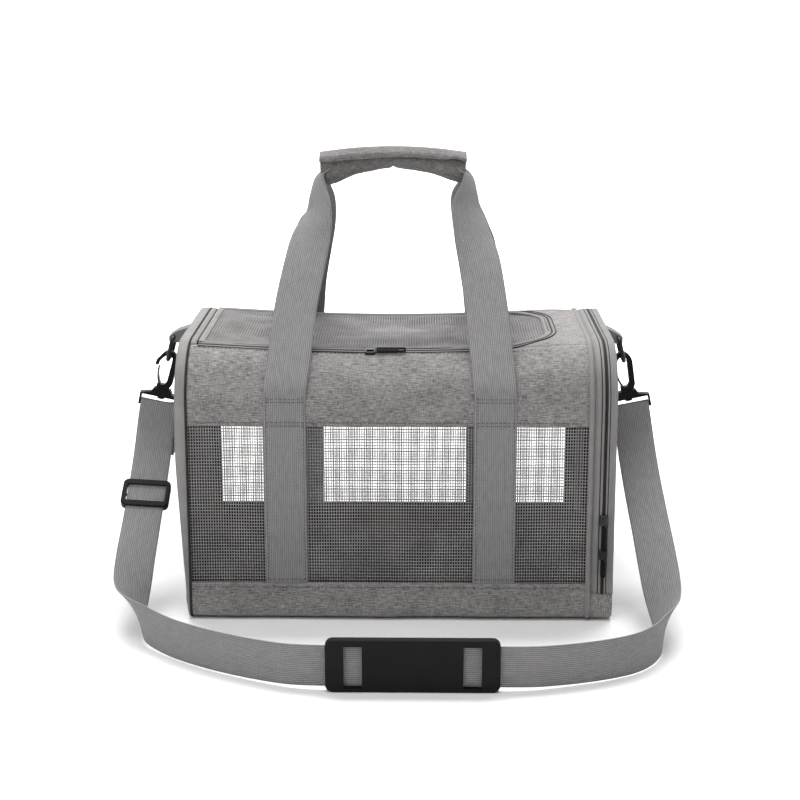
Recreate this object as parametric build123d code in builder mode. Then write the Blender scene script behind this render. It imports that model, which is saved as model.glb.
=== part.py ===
from build123d import *
import os
from math import cos, radians, sin

# Soft-sided pet carrier bag. Millimetres. X runs along the bag, -Y is its front, +Z is up.
# The origin is on the floor, under the middle of the bag.

# ---- driving dimensions ----
half_width = 140.0            # bag, front to back
foot_height = 5.0
body_bottom = foot_height
body_top = 281.0
shoulder_radius = 60.0        # rounded top edges, front and rear
skirt_radius = 18.0           # rounded bottom edges
wall = 3.0                    # padded fabric
left_end_x = -218.0
left_seam_x = -207.0          # left end of the front, top and rear panels
right_seam_x = 196.0
zip_x = 211.5                 # middle of the end door's zip
right_end_x = 222.5
window_bottom = 40.0
window_top = 204.0
webbing = 1.8                 # thickness of every webbing strap
handle_webbing_width = 43.0
strap_width = 40.0
gap = 0.4                     # clearance between bodies that move past each other

# ---- values worked out from them ----
zip_half = 3.4                # width of one half of a zip
zip_height = 1.5
gusset_start = right_seam_x + 3.0
bead = 1.8                    # piping's height above the fabric
mesh_thickness = 1.2
hinge_drop = 7.0              # door hinge line above the body's underside
door_hinge_x = right_end_x - wall / 2
door_hinge_z = body_bottom + hinge_drop
door_plate_bottom = door_hinge_z
door_ring_bottom = 30.0       # lower end of the door's zipped edge
far = 400.0                   # half size of a cutting block

os.makedirs("parts", exist_ok=True)


def save(part, name):
    """Label a finished piece and write it as one STEP file."""
    part.label = name
    export_step(part, f"parts/{name}.step")


def section_sketch(x, inset=0.0):
    """Cross-section of the bag at x, drawn inside its outer surface by inset."""
    with BuildSketch(Plane.YZ.offset(x)) as profile:
        with Locations((0, (body_bottom + body_top) / 2)):
            Rectangle(2 * (half_width - inset), body_top - body_bottom - 2 * inset)
        fillet(profile.vertices().group_by(Axis.Y)[0], skirt_radius - inset)
        fillet(profile.vertices().group_by(Axis.Y)[-1], shoulder_radius - inset)
    return profile.sketch


def skin(x_start, x_end, outer_inset=0.0, inner_inset=wall):
    """A length of the bag's skin, as a tube between two depths under the surface."""
    with BuildPart() as tube:
        extrude(section_sketch(x_start, outer_inset), amount=x_end - x_start)
        extrude(section_sketch(x_start, inner_inset), amount=x_end - x_start, mode=Mode.SUBTRACT)
    return tube.part


def keep_box(x_range, y_range, z_range):
    """Inside a part block, keep only what lies in the given box."""
    sizes = [high - low for low, high in (x_range, y_range, z_range)]
    middle = [(low + high) / 2 for low, high in (x_range, y_range, z_range)]
    with Locations(tuple(middle)):
        Box(*sizes, mode=Mode.INTERSECT)


everywhere = (-far, far)
panel_skin = skin(left_seam_x, right_seam_x)

# ---- top flap's outline ----
flap_hinge_x = -200.0
flap_end_x = 164.0
flap_half_width = 97.0
flap_corner = 66.0
flap_border = 22.0
above_body = body_top + 40.0


def flap_prism(grow):
    """Upright block with the flap's outline, grown by the given amount, square at its hinge end."""
    length = flap_end_x + grow - flap_hinge_x
    with BuildPart() as prism:
        with BuildSketch(Plane.XY.offset(body_top - 40.0)) as outline:
            with Locations((flap_hinge_x + length / 2, 0)):
                Rectangle(length, 2 * (flap_half_width + grow))
            fillet(outline.vertices().group_by(Axis.X)[-1], flap_corner + grow)
        extrude(amount=80.0)
    return prism.part


# ---- carrier body: fabric panels ----
with BuildPart() as base_panel:
    add(panel_skin)
    keep_box(everywhere, (skirt_radius - half_width, half_width - skirt_radius), (0, window_bottom))
save(base_panel.part, "base_panel")

with BuildPart() as front_lower_band:
    add(panel_skin)
    keep_box(everywhere, (-far, skirt_radius - half_width), (0, window_bottom))
save(front_lower_band.part, "front_lower_band")

with BuildPart() as rear_lower_band:
    add(panel_skin)
    keep_box(everywhere, (half_width - skirt_radius, far), (0, window_bottom))
save(rear_lower_band.part, "rear_lower_band")

for name, side in (("front_mesh_window", -1), ("rear_mesh_window", 1)):
    with BuildPart() as window:
        with BuildSketch(Plane.XZ.offset(-side * (half_width - 0.3 - mesh_thickness / 2))):
            with Locations(((left_seam_x + right_seam_x) / 2, (window_bottom + window_top) / 2)):
                Rectangle(right_seam_x - left_seam_x, window_top - window_bottom)
        extrude(amount=mesh_thickness / 2, both=True)
    save(window.part, name)

flap_edge = flap_half_width + gap
for name, y_range in (("front_upper_panel", (-far, -flap_edge)), ("rear_upper_panel", (flap_edge, far))):
    with BuildPart() as upper_panel:
        add(panel_skin)
        keep_box(everywhere, y_range, (window_top, above_body))
    save(upper_panel.part, name)

with BuildPart() as top_end_panel:
    add(panel_skin)
    keep_box((flap_end_x - flap_corner, far), (-flap_edge, flap_edge), (body_top - 20, above_body))
    add(flap_prism(gap), mode=Mode.SUBTRACT)
save(top_end_panel.part, "top_end_panel")

with BuildPart() as top_hinge_tape:
    add(panel_skin)
    keep_box((left_seam_x, flap_hinge_x), (-flap_edge, flap_edge), (body_top - 20, above_body))
save(top_hinge_tape.part, "top_hinge_tape")

# ---- top opening: zip half fixed to the bag ----
with BuildPart() as top_zip_fixed:
    add(skin(flap_hinge_x, right_seam_x, -zip_height, 0.0))
    keep_box(everywhere, everywhere, (body_top - 40.0, above_body))
    add(flap_prism(zip_half + gap), mode=Mode.INTERSECT)
    add(flap_prism(gap), mode=Mode.SUBTRACT)
save(top_zip_fixed.part, "top_zip_fixed_half")

# ---- top flap ----
flap_clear = 0.6              # flap's edge to its hinge line

with BuildPart() as top_flap_border:
    add(skin(flap_hinge_x + flap_clear, right_seam_x))
    keep_box(everywhere, everywhere, (body_top - 20, above_body))
    add(flap_prism(-gap), mode=Mode.INTERSECT)
    with BuildSketch(Plane.XY.offset(body_top - 20)) as window_outline:
        with Locations(((flap_hinge_x + flap_end_x) / 2, 0)):
            Rectangle(flap_end_x - flap_hinge_x - 2 * flap_border, 2 * (flap_half_width - flap_border))
        fillet(window_outline.vertices().group_by(Axis.X)[-1], flap_corner - flap_border)
        fillet(window_outline.vertices().group_by(Axis.X)[0], flap_border / 2)
    extrude(amount=40.0, mode=Mode.SUBTRACT)
save(top_flap_border.part, "top_flap_border")

with BuildPart() as top_flap_mesh:
    with BuildSketch(Plane.XY.offset(body_top - wall)) as mesh_outline:
        with Locations(((flap_hinge_x + flap_end_x) / 2, 0)):
            Rectangle(flap_end_x - flap_hinge_x - 2 * flap_border, 2 * (flap_half_width - flap_border))
        fillet(mesh_outline.vertices().group_by(Axis.X)[-1], flap_corner - flap_border)
        fillet(mesh_outline.vertices().group_by(Axis.X)[0], flap_border / 2)
    extrude(amount=mesh_thickness)
save(top_flap_mesh.part, "top_flap_mesh")

with BuildPart() as top_zip_moving:
    add(skin(flap_hinge_x + flap_clear, right_seam_x, -zip_height, 0.0))
    keep_box(everywhere, everywhere, (body_top - 40.0, above_body))
    add(flap_prism(-gap), mode=Mode.INTERSECT)
    add(flap_prism(-gap - zip_half), mode=Mode.SUBTRACT)
    keep_box((flap_hinge_x + 6.0, far), everywhere, everywhere)
save(top_zip_moving.part, "top_zip_flap_half")

# ---- left end ----
with BuildPart() as left_end_panel:
    extrude(section_sketch(left_end_x), amount=wall)
save(left_end_panel.part, "left_end_panel")

with BuildPart() as left_gusset:
    add(skin(left_end_x + wall, left_seam_x))
save(left_gusset.part, "left_gusset")

with BuildPart() as left_piping:
    add(skin(left_seam_x - 2.0, left_seam_x + 2.0, -bead, 0.0))
save(left_piping.part, "left_piping")

frame_wire_radius = 1.5
frame_wire_inset = wall + frame_wire_radius + 0.3


def frame_wire(x):
    """Spring-steel hoop that holds one end of the bag open."""
    with BuildPart() as hoop:
        with BuildLine(Plane.YZ.offset(x)) as loop:
            add(section_sketch(x, frame_wire_inset).faces()[0].outer_wire())
        with BuildSketch(Plane(origin=loop.wire() @ 0, z_dir=loop.wire() % 0)):
            Circle(frame_wire_radius)
        sweep(path=loop.wire())
    return hoop.part


left_wire_x = left_end_x + wall + 4.0
right_wire_x = gusset_start + 6.0
save(frame_wire(left_wire_x), "left_frame_wire")
save(frame_wire(right_wire_x), "right_frame_wire")

# ---- right end: fixed gusset, zip and door ----
with BuildPart() as right_piping:
    add(skin(right_seam_x - 2.0, gusset_start, -bead, 0.0))
save(right_piping.part, "right_piping")

gusset_edge = zip_x - gap / 2
gusset_skin = skin(right_seam_x, gusset_edge)
quarter = half_width - shoulder_radius
gusset_pieces = (
    ("right_gusset_top", (-quarter, quarter), (body_top - 20, above_body)),
    ("right_gusset_front", (-far, -quarter), (door_ring_bottom, above_body)),
    ("right_gusset_rear", (quarter, far), (door_ring_bottom, above_body)),
)
for name, y_range, z_range in gusset_pieces:
    with BuildPart() as gusset_piece:
        add(gusset_skin)
        keep_box(everywhere, y_range, z_range)
    save(gusset_piece.part, name)

with BuildPart() as right_gusset_bottom:
    add(skin(right_seam_x, right_end_x))
    keep_box(everywhere, everywhere, (0, door_ring_bottom))
    with Locations((right_end_x - wall - gap + far, 0, door_plate_bottom - wall / 2 - gap + far)):
        Box(2 * far, 2 * far, 2 * far, mode=Mode.SUBTRACT)
save(right_gusset_bottom.part, "right_gusset_bottom")

with BuildPart() as door_zip_fixed:
    add(skin(gusset_edge - zip_half, gusset_edge, -zip_height, 0.0))
    keep_box(everywhere, everywhere, (door_ring_bottom + 2.0, above_body))
save(door_zip_fixed.part, "door_zip_fixed_half")

door_edge = zip_x + gap / 2
with BuildPart() as end_door_binding:
    add(skin(door_edge, right_end_x - wall))
    keep_box(everywhere, everywhere, (door_ring_bottom + gap, above_body))
save(end_door_binding.part, "end_door_binding")

with BuildPart() as end_door_panel:
    extrude(section_sketch(right_end_x - wall), amount=wall)
    keep_box(everywhere, everywhere, (door_plate_bottom, above_body))
save(end_door_panel.part, "end_door_panel")

with BuildPart() as door_zip_moving:
    add(skin(door_edge, door_edge + zip_half, -zip_height, 0.0))
    keep_box(everywhere, everywhere, (door_ring_bottom + 2.0, above_body))
save(door_zip_moving.part, "door_zip_door_half")

# ---- inside: board and mat ----
board_thickness = 4.0
mat_thickness = 12.0
inside_clear = 2.0
inside_start_x = left_wire_x + frame_wire_radius + inside_clear
inside_end_x = right_wire_x - frame_wire_radius - inside_clear
inside_length = inside_end_x - inside_start_x
inside_middle_x = (inside_start_x + inside_end_x) / 2
inside_half_width = half_width - skirt_radius

with BuildPart() as base_board:
    with BuildSketch(Plane.XY.offset(body_bottom + wall)):
        with Locations((inside_middle_x, 0)):
            RectangleRounded(inside_length, 2 * inside_half_width, 12.0)
    extrude(amount=board_thickness)
save(base_board.part, "base_board")

with BuildPart() as fleece_mat:
    with BuildSketch(Plane.XY.offset(body_bottom + wall + board_thickness)):
        with Locations((inside_middle_x, 0)):
            RectangleRounded(inside_length, 2 * inside_half_width - 4.0, 15.0)
    extrude(amount=mat_thickness)
    fillet(fleece_mat.faces().sort_by(Axis.Z)[-1].edges(), 4.0)
save(fleece_mat.part, "fleece_mat")

# ---- feet ----
foot_radius = 8.5
foot_places = [(x, y) for x in (-152.0, 145.0) for y in (-112.0, 112.0)]
with BuildPart() as feet:
    with BuildSketch(Plane.XY):
        with Locations(*foot_places):
            Circle(foot_radius)
    extrude(amount=foot_height)
    fillet(feet.faces().group_by(Axis.Z)[0].edges(), 2.0)
save(feet.part, "feet")

# ---- carry handles ----
stitch_top = 242.0
leg_hinge_y = half_width + webbing / 2 + 0.2
strap_places = ((-130.0, -87.0), (80.0, 123.0))
grip_z = 448.0
lean_y = leg_hinge_y - 8.0
lean_z = 432.0 - stitch_top
lean_length = (lean_y ** 2 + lean_z ** 2) ** 0.5

for front_name, side in (("front", -1), ("rear", 1)):
    sewn_height = stitch_top - webbing - window_bottom
    with BuildPart() as sewn_straps:
        with BuildSketch(Plane.XZ.offset(-side * leg_hinge_y)):
            for x_low, x_high in strap_places:
                with Locations(((x_low + x_high) / 2, window_bottom + sewn_height / 2)):
                    Rectangle(x_high - x_low, sewn_height)
        extrude(amount=webbing / 2, both=True)
    save(sewn_straps.part, f"{front_name}_sewn_straps")

# Each handle is two plain flat legs, in a plane that leans from the stitching to the grip,
# and the gathered webbing inside the grip. Outline points are (x, distance up the leg).
leg_outlines = (
    [(-130, 0), (-120, 85), (-105, 170), (-86, lean_length), (-86, lean_length + 10),
     (-79, lean_length + 10), (-79, lean_length), (-58, lean_length), (-66, 170), (-79, 85), (-87, 0)],
    [(80, 0), (74, 85), (60, 170), (53, lean_length), (74, lean_length), (74, lean_length + 10),
     (81, lean_length + 10), (81, lean_length), (97, 170), (112, 85), (123, 0)],
)
grip_left_x = -78.0
grip_right_x = 73.0
grip_radius = 15.0
grip_core_radius = 8.0
grip_core_reach = 7.0         # webbing that shows at each end of the wrap
core_gap = 0.5


def half_round(x, radius, side):
    """Half disc across the grip at x, standing off the middle plane of the bag by core_gap."""
    with BuildSketch(Plane(origin=(x, 0, grip_z), x_dir=(0, 1, 0), z_dir=(1, 0, 0))) as half:
        Circle(radius)
        with Locations((side * (core_gap - far), 0)):
            Rectangle(2 * far, 2 * far, mode=Mode.SUBTRACT)
    return half.sketch


for front_name, side in (("front", -1), ("rear", 1)):
    grip_length = grip_right_x - grip_left_x
    with BuildPart() as grip_wrap:
        extrude(half_round(grip_left_x, grip_radius, side), amount=grip_length)
        extrude(half_round(grip_left_x, grip_core_radius, side), amount=grip_length, mode=Mode.SUBTRACT)
    save(grip_wrap.part, f"grip_wrap_{front_name}")
    leg_plane = Plane(
        origin=(0, side * leg_hinge_y, stitch_top),
        x_dir=(1, 0, 0),
        z_dir=(0, side * lean_z, lean_y),
    )
    flip = 1 if side < 0 else -1
    with BuildPart() as handle:
        for outline in leg_outlines:
            with BuildSketch(leg_plane):
                with BuildLine():
                    Polyline(*[(x, flip * y) for x, y in outline], close=True)
                make_face()
            extrude(amount=webbing / 2, both=True)
        extrude(
            half_round(grip_left_x - grip_core_reach, grip_core_radius - 0.3, side),
            amount=grip_length + 2 * grip_core_reach,
        )
    save(handle.part, f"{front_name}_handle_webbing")

# ---- D-rings and their tabs ----
ring_wire = 2.2
ring_half_width = 16.0
ring_corner = 4.5
ring_top = (236.0, 268.0)
ring_bottom = (242.1, 243.9)
tab_width = 22.0
tab_thickness = 8.0

for side_name, side, wall_x in (("left", -1, -left_end_x), ("right", 1, right_end_x)):
    ring_down = Vector(side * (ring_bottom[0] - ring_top[0]), 0, ring_bottom[1] - ring_top[1])
    ring_drop = ring_down.length
    ring_plane = Plane(
        origin=(side * ring_top[0], 0, ring_top[1]),
        x_dir=(0, 1, 0),
        z_dir=Vector(0, 1, 0).cross(ring_down.normalized()),
    )
    with BuildSketch(ring_plane) as ring_outline:
        with Locations((0, ring_drop / 2)):
            RectangleRounded(2 * ring_half_width, ring_drop, ring_corner)
    ring_path = ring_outline.sketch.faces()[0].outer_wire()
    with BuildPart() as d_ring:
        with BuildSketch(Plane(origin=ring_path @ 0, z_dir=ring_path % 0)):
            Circle(ring_wire)
        sweep(path=ring_path)
    save(d_ring.part, f"{side_name}_d_ring")
    with BuildPart() as d_ring_tab:
        with BuildSketch(Plane.XZ.offset(-tab_width / 2)):
            with BuildLine():
                Polyline(
                    (side * wall_x, 262), (side * wall_x, 279), (side * (ring_top[0] - 4), 274.5),
                    (side * (ring_top[0] + 4.5), 269), (side * (ring_top[0] + 4.5), 263),
                    (side * (ring_top[0] - 4), 262), close=True,
                )
            make_face()
            with Locations((side * ring_top[0], ring_top[1])):
                Circle(ring_wire + 0.2, mode=Mode.SUBTRACT)
        extrude(amount=tab_width)
    save(d_ring_tab.part, f"{side_name}_d_ring_tab")

# ---- swivel hooks ----
hook_tilt = 12.0
hook_thickness = 8.0
wire_in_hook = (1.5, 35.0)    # D-ring's lower bar in the hook's own plane
pin_radius = 2.4
base_thickness = 9.0
loop_half_width = 22.5
loop_top = -9.5
loop_slot_bottom = -16.5
loop_bottom = -21.0
slot_half_width = 20.6


def hook_plane(side):
    """Plane of a hook, upright along its shank, its origin at the collar, facing the front."""
    up = Vector(-side * sin(radians(hook_tilt)), 0, cos(radians(hook_tilt)))
    across = up.cross(Vector(0, -1, 0))
    wire = Vector(side * ring_bottom[0], 0, ring_bottom[1])
    origin = wire - across * wire_in_hook[0] - up * wire_in_hook[1]
    return Plane(origin=origin, x_dir=across, z_dir=(0, -1, 0))


for side_name, side in (("left", -1), ("right", 1)):
    plane = hook_plane(side)
    shank_plane = Plane(origin=plane.origin, x_dir=plane.x_dir, z_dir=plane.y_dir)
    with BuildPart() as hook_base:
        with BuildSketch(plane):
            with BuildLine():
                Polyline(
                    (-9, -0.3), (9, -0.3), (11, -5), (loop_half_width, -8), (loop_half_width, loop_bottom),
                    (-loop_half_width, loop_bottom), (-loop_half_width, -8), (-11, -5), close=True,
                )
            make_face()
            with Locations((0, (loop_top + loop_slot_bottom) / 2)):
                Rectangle(2 * slot_half_width, loop_top - loop_slot_bottom, mode=Mode.SUBTRACT)
        extrude(amount=base_thickness / 2, both=True)
        chamfer(hook_base.edges().filter_by(GeomType.LINE).filter_by(Axis.Y).group_by(Axis.Z)[0], 1.5)
        with BuildSketch(shank_plane.offset(-15.0)):
            Circle(pin_radius + 0.3)
        extrude(amount=15.0 - 0.3, mode=Mode.SUBTRACT)
        with Locations(plane.offset(0).location):
            with Locations((0, (loop_slot_bottom + loop_bottom) / 2, 0)):
                Box(2 * slot_half_width, loop_slot_bottom - loop_bottom, base_thickness)
    save(hook_base.part, f"{side_name}_hook_base")

    with BuildPart() as hook:
        with BuildSketch(plane):
            with BuildLine():
                outer = Polyline((-6.5, 0), (6.5, 0), (9.5, 6), (11, 30))
                Spline((11, 30), (9.0, 37.5), (2.5, 42.5), (-5.0, 39.5), (-10.0, 32.0), (-12.0, 25.0),
                       tangents=[(0, 1), (-0.1, -1)])
                Line((-12.0, 25.0), (-8.6, 25.0))
                Spline((-8.6, 25.0), (-6.6, 31.0), (-2.6, 36.0), (1.5, 38.0), (4.6, 35.5), (5.2, 30.0),
                       tangents=[(0.1, 1), (0, -1)])
                Polyline((5.2, 30), (3.6, 8), (1.0, 4.6), (-6.5, 4.6), (-6.5, 0))
            make_face()
        extrude(amount=hook_thickness / 2, both=True)
        with BuildSketch(shank_plane.offset(-10.8)):
            Circle(pin_radius)
        extrude(amount=10.8)
        with BuildSketch(shank_plane.offset(-11.6)):
            Circle(pin_radius + 1.4)
        extrude(amount=11.6 - 9.8)
    save(hook.part, f"{side_name}_hook")

    with BuildPart() as gate:
        with BuildSketch(plane):
            with BuildLine():
                ThreePointArc((-5.6, 5.0), (-8.0, 14.5), (-8.2, 24.2))
                Line((-8.2, 24.2), (-6.6, 24.2))
                ThreePointArc((-6.6, 24.2), (-6.2, 14.5), (-2.6, 5.0))
                Line((-2.6, 5.0), (-5.6, 5.0))
            make_face()
        extrude(amount=hook_thickness / 2 - 1.0, both=True)
    save(gate.part, f"{side_name}_hook_gate")

# ---- shoulder strap ----
# The strap stands on its edge on the floor in front of the bag and hangs flat at the hooks.
pad_y = -321.0
pad_travel = 8.0
floor_points = [
    (-260, -158), (-248, -205), (-218, -243), (-176, -274), (-128, -300), (-76, pad_y),
    (118, pad_y), (160, -309), (202, -299), (236, -280), (258, -250), (267, -218), (268, -200),
]
strap_bottom = 4.0
layer_offset = base_thickness / 2 + webbing / 2 + 0.5
loop_length = 32.0            # strap loop below a hook's collar
left_lean = 3.5               # how far each hanging strap leans out, seen from the front
right_lean = 6.0
# Routes in the hanging strap's own plane: (y, height above the loop's end).
left_hang_points = [
    (-layer_offset, 30), (-layer_offset - 0.5, -8), (-34, -43), (-100, -93), (-135, -114), (-158, -140),
]
right_hang_points = [
    (-layer_offset, 30), (-layer_offset - 0.5, -8), (-34, -42), (-74, -72), (-120, -98), (-164, -124),
    (-202, -154),
]
return_points = [(layer_offset, 30), (layer_offset - 0.5, -4), (-10, -22), (-18, -30)]
right_junction_y = -200.0     # the floor run and the right hang part here


def corner_radii(points):
    """Radius for each inner corner of a route, as large as its two runs allow."""
    radii = []
    for before, here, after in zip(points, points[1:], points[2:]):
        run_in = Vector(*here) - Vector(*before)
        run_out = Vector(*after) - Vector(*here)
        half_turn = radians(run_in.get_angle(run_out)) / 2
        radii.append(0.45 * min(run_in.length, run_out.length) * cos(half_turn) / sin(half_turn))
    return radii


def hang_frame(side):
    """Plane of a hanging strap's route: its origin at the loop's end, its normal across the strap."""
    plane = hook_plane(side)
    lean = radians(left_lean if side < 0 else right_lean)
    return Plane(
        origin=plane.origin - plane.y_dir * loop_length,
        x_dir=(0, 1, 0),
        z_dir=(cos(lean), 0, side * sin(lean)),
    )


def strap_band(points, plane, height):
    """Band of webbing whose edge follows a flat route, raised by its width."""
    with BuildPart() as band:
        with BuildSketch(plane):
            with BuildLine():
                FilletPolyline(*points, radius=corner_radii(points))
            trace(line_width=webbing)
        extrude(amount=height)
    return band.part


with BuildPart() as strap_floor_run:
    add(strap_band(floor_points, Plane.XY.offset(strap_bottom), strap_width))
    keep_box(everywhere, (-far, -1), (0, far))
save(strap_floor_run.part, "strap_floor_run")

hangs = (
    ("left", -1, left_hang_points, (-far, far)),
    ("right", 1, right_hang_points, (right_junction_y + gap, far)),
)
for side_name, side, points, y_range in hangs:
    plane = hook_plane(side)
    frame = hang_frame(side)
    loop_end = Plane(origin=frame.origin, z_dir=plane.y_dir)
    loop_plane = Plane(
        origin=plane.origin - plane.x_dir * strap_width / 2, x_dir=(0, 1, 0), z_dir=plane.x_dir
    )
    with BuildPart() as strap_hang:
        add(strap_band(points, frame.offset(-strap_width / 2), strap_width))
        split(bisect_by=loop_end, keep=Keep.BOTTOM)
        keep_box(everywhere, y_range, (strap_bottom + (strap_width if side < 0 else 0), far))
        with BuildSketch(loop_plane):
            with BuildLine():
                FilletPolyline(
                    (-layer_offset, -loop_length), (-layer_offset, loop_slot_bottom + 1.3),
                    (layer_offset, loop_slot_bottom + 1.3), (layer_offset, -loop_length), radius=1.2,
                )
            trace(line_width=webbing)
        extrude(amount=strap_width)
    save(strap_hang.part, f"strap_{side_name}_hang")

with BuildPart() as strap_return:
    add(strap_band(return_points, hang_frame(-1).offset(-strap_width / 2), strap_width))
    split(bisect_by=Plane(origin=hang_frame(-1).origin, z_dir=hook_plane(-1).y_dir), keep=Keep.BOTTOM)
save(strap_return.part, "strap_left_return")

# ---- strap adjuster, on the straight stretch of the left hang ----
adjuster_half_width = 25.0
adjuster_half_length = 17.0
adjuster_half_thickness = 3.8
adjuster_slot = 2.3           # half the height of the strap's passage
adjuster_window = 9.4
adjuster_bar = 2.4            # centre bar, behind the strap
left_frame = hang_frame(-1)
stretch_top, stretch_low = [
    left_frame.origin + left_frame.x_dir * y + left_frame.y_dir * z for y, z in left_hang_points[2:4]
]
adjuster_plane = Plane(
    origin=(stretch_top + stretch_low) * 0.5,
    x_dir=left_frame.z_dir,
    z_dir=left_frame.z_dir.cross(stretch_top - stretch_low),
)
print("adjuster along", (stretch_low - stretch_top).normalized())
with BuildPart() as adjuster:
    with BuildSketch(adjuster_plane):
        RectangleRounded(2 * adjuster_half_width, 2 * adjuster_half_length, 6.0)
    extrude(amount=adjuster_half_thickness, both=True)
    fillet(adjuster.faces().sort_by(Axis(adjuster_plane.origin, adjuster_plane.z_dir))[-1].edges(), 1.2)
    with BuildSketch(adjuster_plane):
        Rectangle(strap_width + 1.2, 4 * adjuster_half_length)
    extrude(amount=adjuster_slot, both=True, mode=Mode.SUBTRACT)
    with BuildSketch(adjuster_plane):
        Rectangle(strap_width + 1.2, 2 * adjuster_window + adjuster_bar)
    extrude(amount=2 * adjuster_half_thickness, mode=Mode.SUBTRACT)
    window_offset = (adjuster_window + adjuster_bar) / 2
    with BuildSketch(adjuster_plane):
        with Locations((0, window_offset), (0, -window_offset)):
            Rectangle(strap_width + 1.2, adjuster_window)
    extrude(amount=-2 * adjuster_half_thickness, mode=Mode.SUBTRACT)
save(adjuster.part, "strap_adjuster")

# ---- shoulder pad ----
pad_left = -60.0
pad_right = 101.0
pad_height = 51.0
pad_half_thickness = 5.0
pad_window = 17.0
pad_window_margin = 17.0
slot_clear = 0.6
pad_middle = (pad_left + pad_right) / 2
strap_middle_z = strap_bottom + strap_width / 2
window_offset = (pad_right - pad_left) / 2 - pad_window_margin - pad_window / 2
with BuildPart() as shoulder_pad:
    with BuildSketch(Plane.XZ.offset(-pad_y)):
        with Locations((pad_middle, pad_height / 2)):
            RectangleRounded(pad_right - pad_left, pad_height, 7.0)
    extrude(amount=pad_half_thickness, both=True)
    fillet(shoulder_pad.faces().filter_by(Axis.Y).edges(), 2.0)
    with Locations((pad_middle, pad_y, strap_middle_z)):
        Box(far, webbing + 2 * slot_clear, strap_width + 2 * slot_clear, mode=Mode.SUBTRACT)
    for window_x in (pad_middle - window_offset, pad_middle + window_offset):
        with Locations((window_x, pad_y - pad_half_thickness, strap_middle_z)):
            Box(pad_window, 2 * pad_half_thickness, strap_width + 1.0, mode=Mode.SUBTRACT)
save(shoulder_pad.part, "shoulder_pad")

# ---- zip sliders and pulls ----
slider_length = 11.0
slider_width = 8.4
slider_height = 3.6
bridge_height = 1.6
pull_thickness = 1.8
pull_rise = 3.3               # pull's underside above the slider's base
pull_width = 5.0


def slider(plane):
    """Slider body with a low bridge. Its length lies along the plane's X, its top faces along Z."""
    with BuildPart() as body:
        with BuildSketch(plane):
            RectangleRounded(slider_length, slider_width, 2.4)
        extrude(amount=slider_height)
        chamfer(body.edges().group_by(Axis(plane.origin, plane.z_dir))[-1], 0.6)
        with BuildSketch(plane.offset(slider_height - 0.2)):
            Rectangle(slider_length - 3.0, 2.4)
        extrude(amount=bridge_height + 0.2)
    return body.part


def pull(plane, length):
    """Pull tag with a slot near its free end. It starts at the plane's origin and lies along X."""
    with BuildPart() as tag:
        with BuildSketch(plane):
            with Locations((length / 2, 0)):
                RectangleRounded(length, pull_width, 1.6)
            with Locations((length - 5.0, 0)):
                SlotOverall(6.0, 2.2, mode=Mode.SUBTRACT)
        extrude(amount=pull_thickness)
    return tag.part


top_slider_x = -24.0
shoulder_centre_y = half_width - shoulder_radius
shoulder_centre_z = body_top - shoulder_radius
slider_rise = shoulder_radius + zip_height + 0.4
top_slider_angle = 21.1       # how far round the shoulder the slider sits
top_slider_origin = Vector(
    top_slider_x,
    -shoulder_centre_y - slider_rise * sin(radians(top_slider_angle)),
    shoulder_centre_z + slider_rise * cos(radians(top_slider_angle)),
)
top_slider_plane = Plane(
    origin=top_slider_origin,
    x_dir=(1, 0, 0),
    z_dir=(0, -sin(radians(top_slider_angle)), cos(radians(top_slider_angle))),
)
top_pull_plane = Plane(
    origin=top_slider_origin + Vector(slider_length / 2 + 0.6, 0, 0) + top_slider_plane.z_dir * pull_rise,
    x_dir=(1, 0, 0),
    z_dir=top_slider_plane.z_dir,
)
save(slider(top_slider_plane), "top_zip_slider")
save(pull(top_pull_plane, 30.0), "top_zip_pull")

door_face_y = -half_width - zip_height - 0.4
door_sliders = (("upper", 108.0, 23.5), ("lower", 72.0, 17.0))
for slider_name, slider_z, pull_length in door_sliders:
    slider_plane = Plane(origin=(zip_x, door_face_y, slider_z), x_dir=(0, 0, -1), z_dir=(0, -1, 0))
    pull_plane = Plane(
        origin=(zip_x, door_face_y - pull_rise, slider_z - slider_length / 2 - 0.6),
        x_dir=(0, 0, -1),
        z_dir=(0, -1, 0),
    )
    save(slider(slider_plane), f"door_zip_slider_{slider_name}")
    save(pull(pull_plane, pull_length), f"door_zip_pull_{slider_name}")

print("floor route radii", [round(r) for r in corner_radii(floor_points)])
print("left hang radii", [round(r) for r in corner_radii(left_hang_points)])
print("right hang radii", [round(r) for r in corner_radii(right_hang_points)])
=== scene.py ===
import math

import bmesh
import bpy
import numpy as np
from mathutils import Matrix, Vector, noise


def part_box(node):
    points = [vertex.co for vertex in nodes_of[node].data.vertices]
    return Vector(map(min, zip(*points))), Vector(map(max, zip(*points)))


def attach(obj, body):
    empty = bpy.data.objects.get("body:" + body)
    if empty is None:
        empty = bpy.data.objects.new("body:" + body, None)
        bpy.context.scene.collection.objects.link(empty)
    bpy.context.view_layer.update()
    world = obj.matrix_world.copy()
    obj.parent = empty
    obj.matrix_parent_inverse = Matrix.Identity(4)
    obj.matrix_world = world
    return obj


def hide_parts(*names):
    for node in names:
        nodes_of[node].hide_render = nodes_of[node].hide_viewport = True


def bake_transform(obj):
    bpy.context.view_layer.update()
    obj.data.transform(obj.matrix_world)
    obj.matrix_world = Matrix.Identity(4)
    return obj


# A soft-sided pet carrier bag. Metres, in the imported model's frame: X along the bag, -Y its front.

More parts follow.
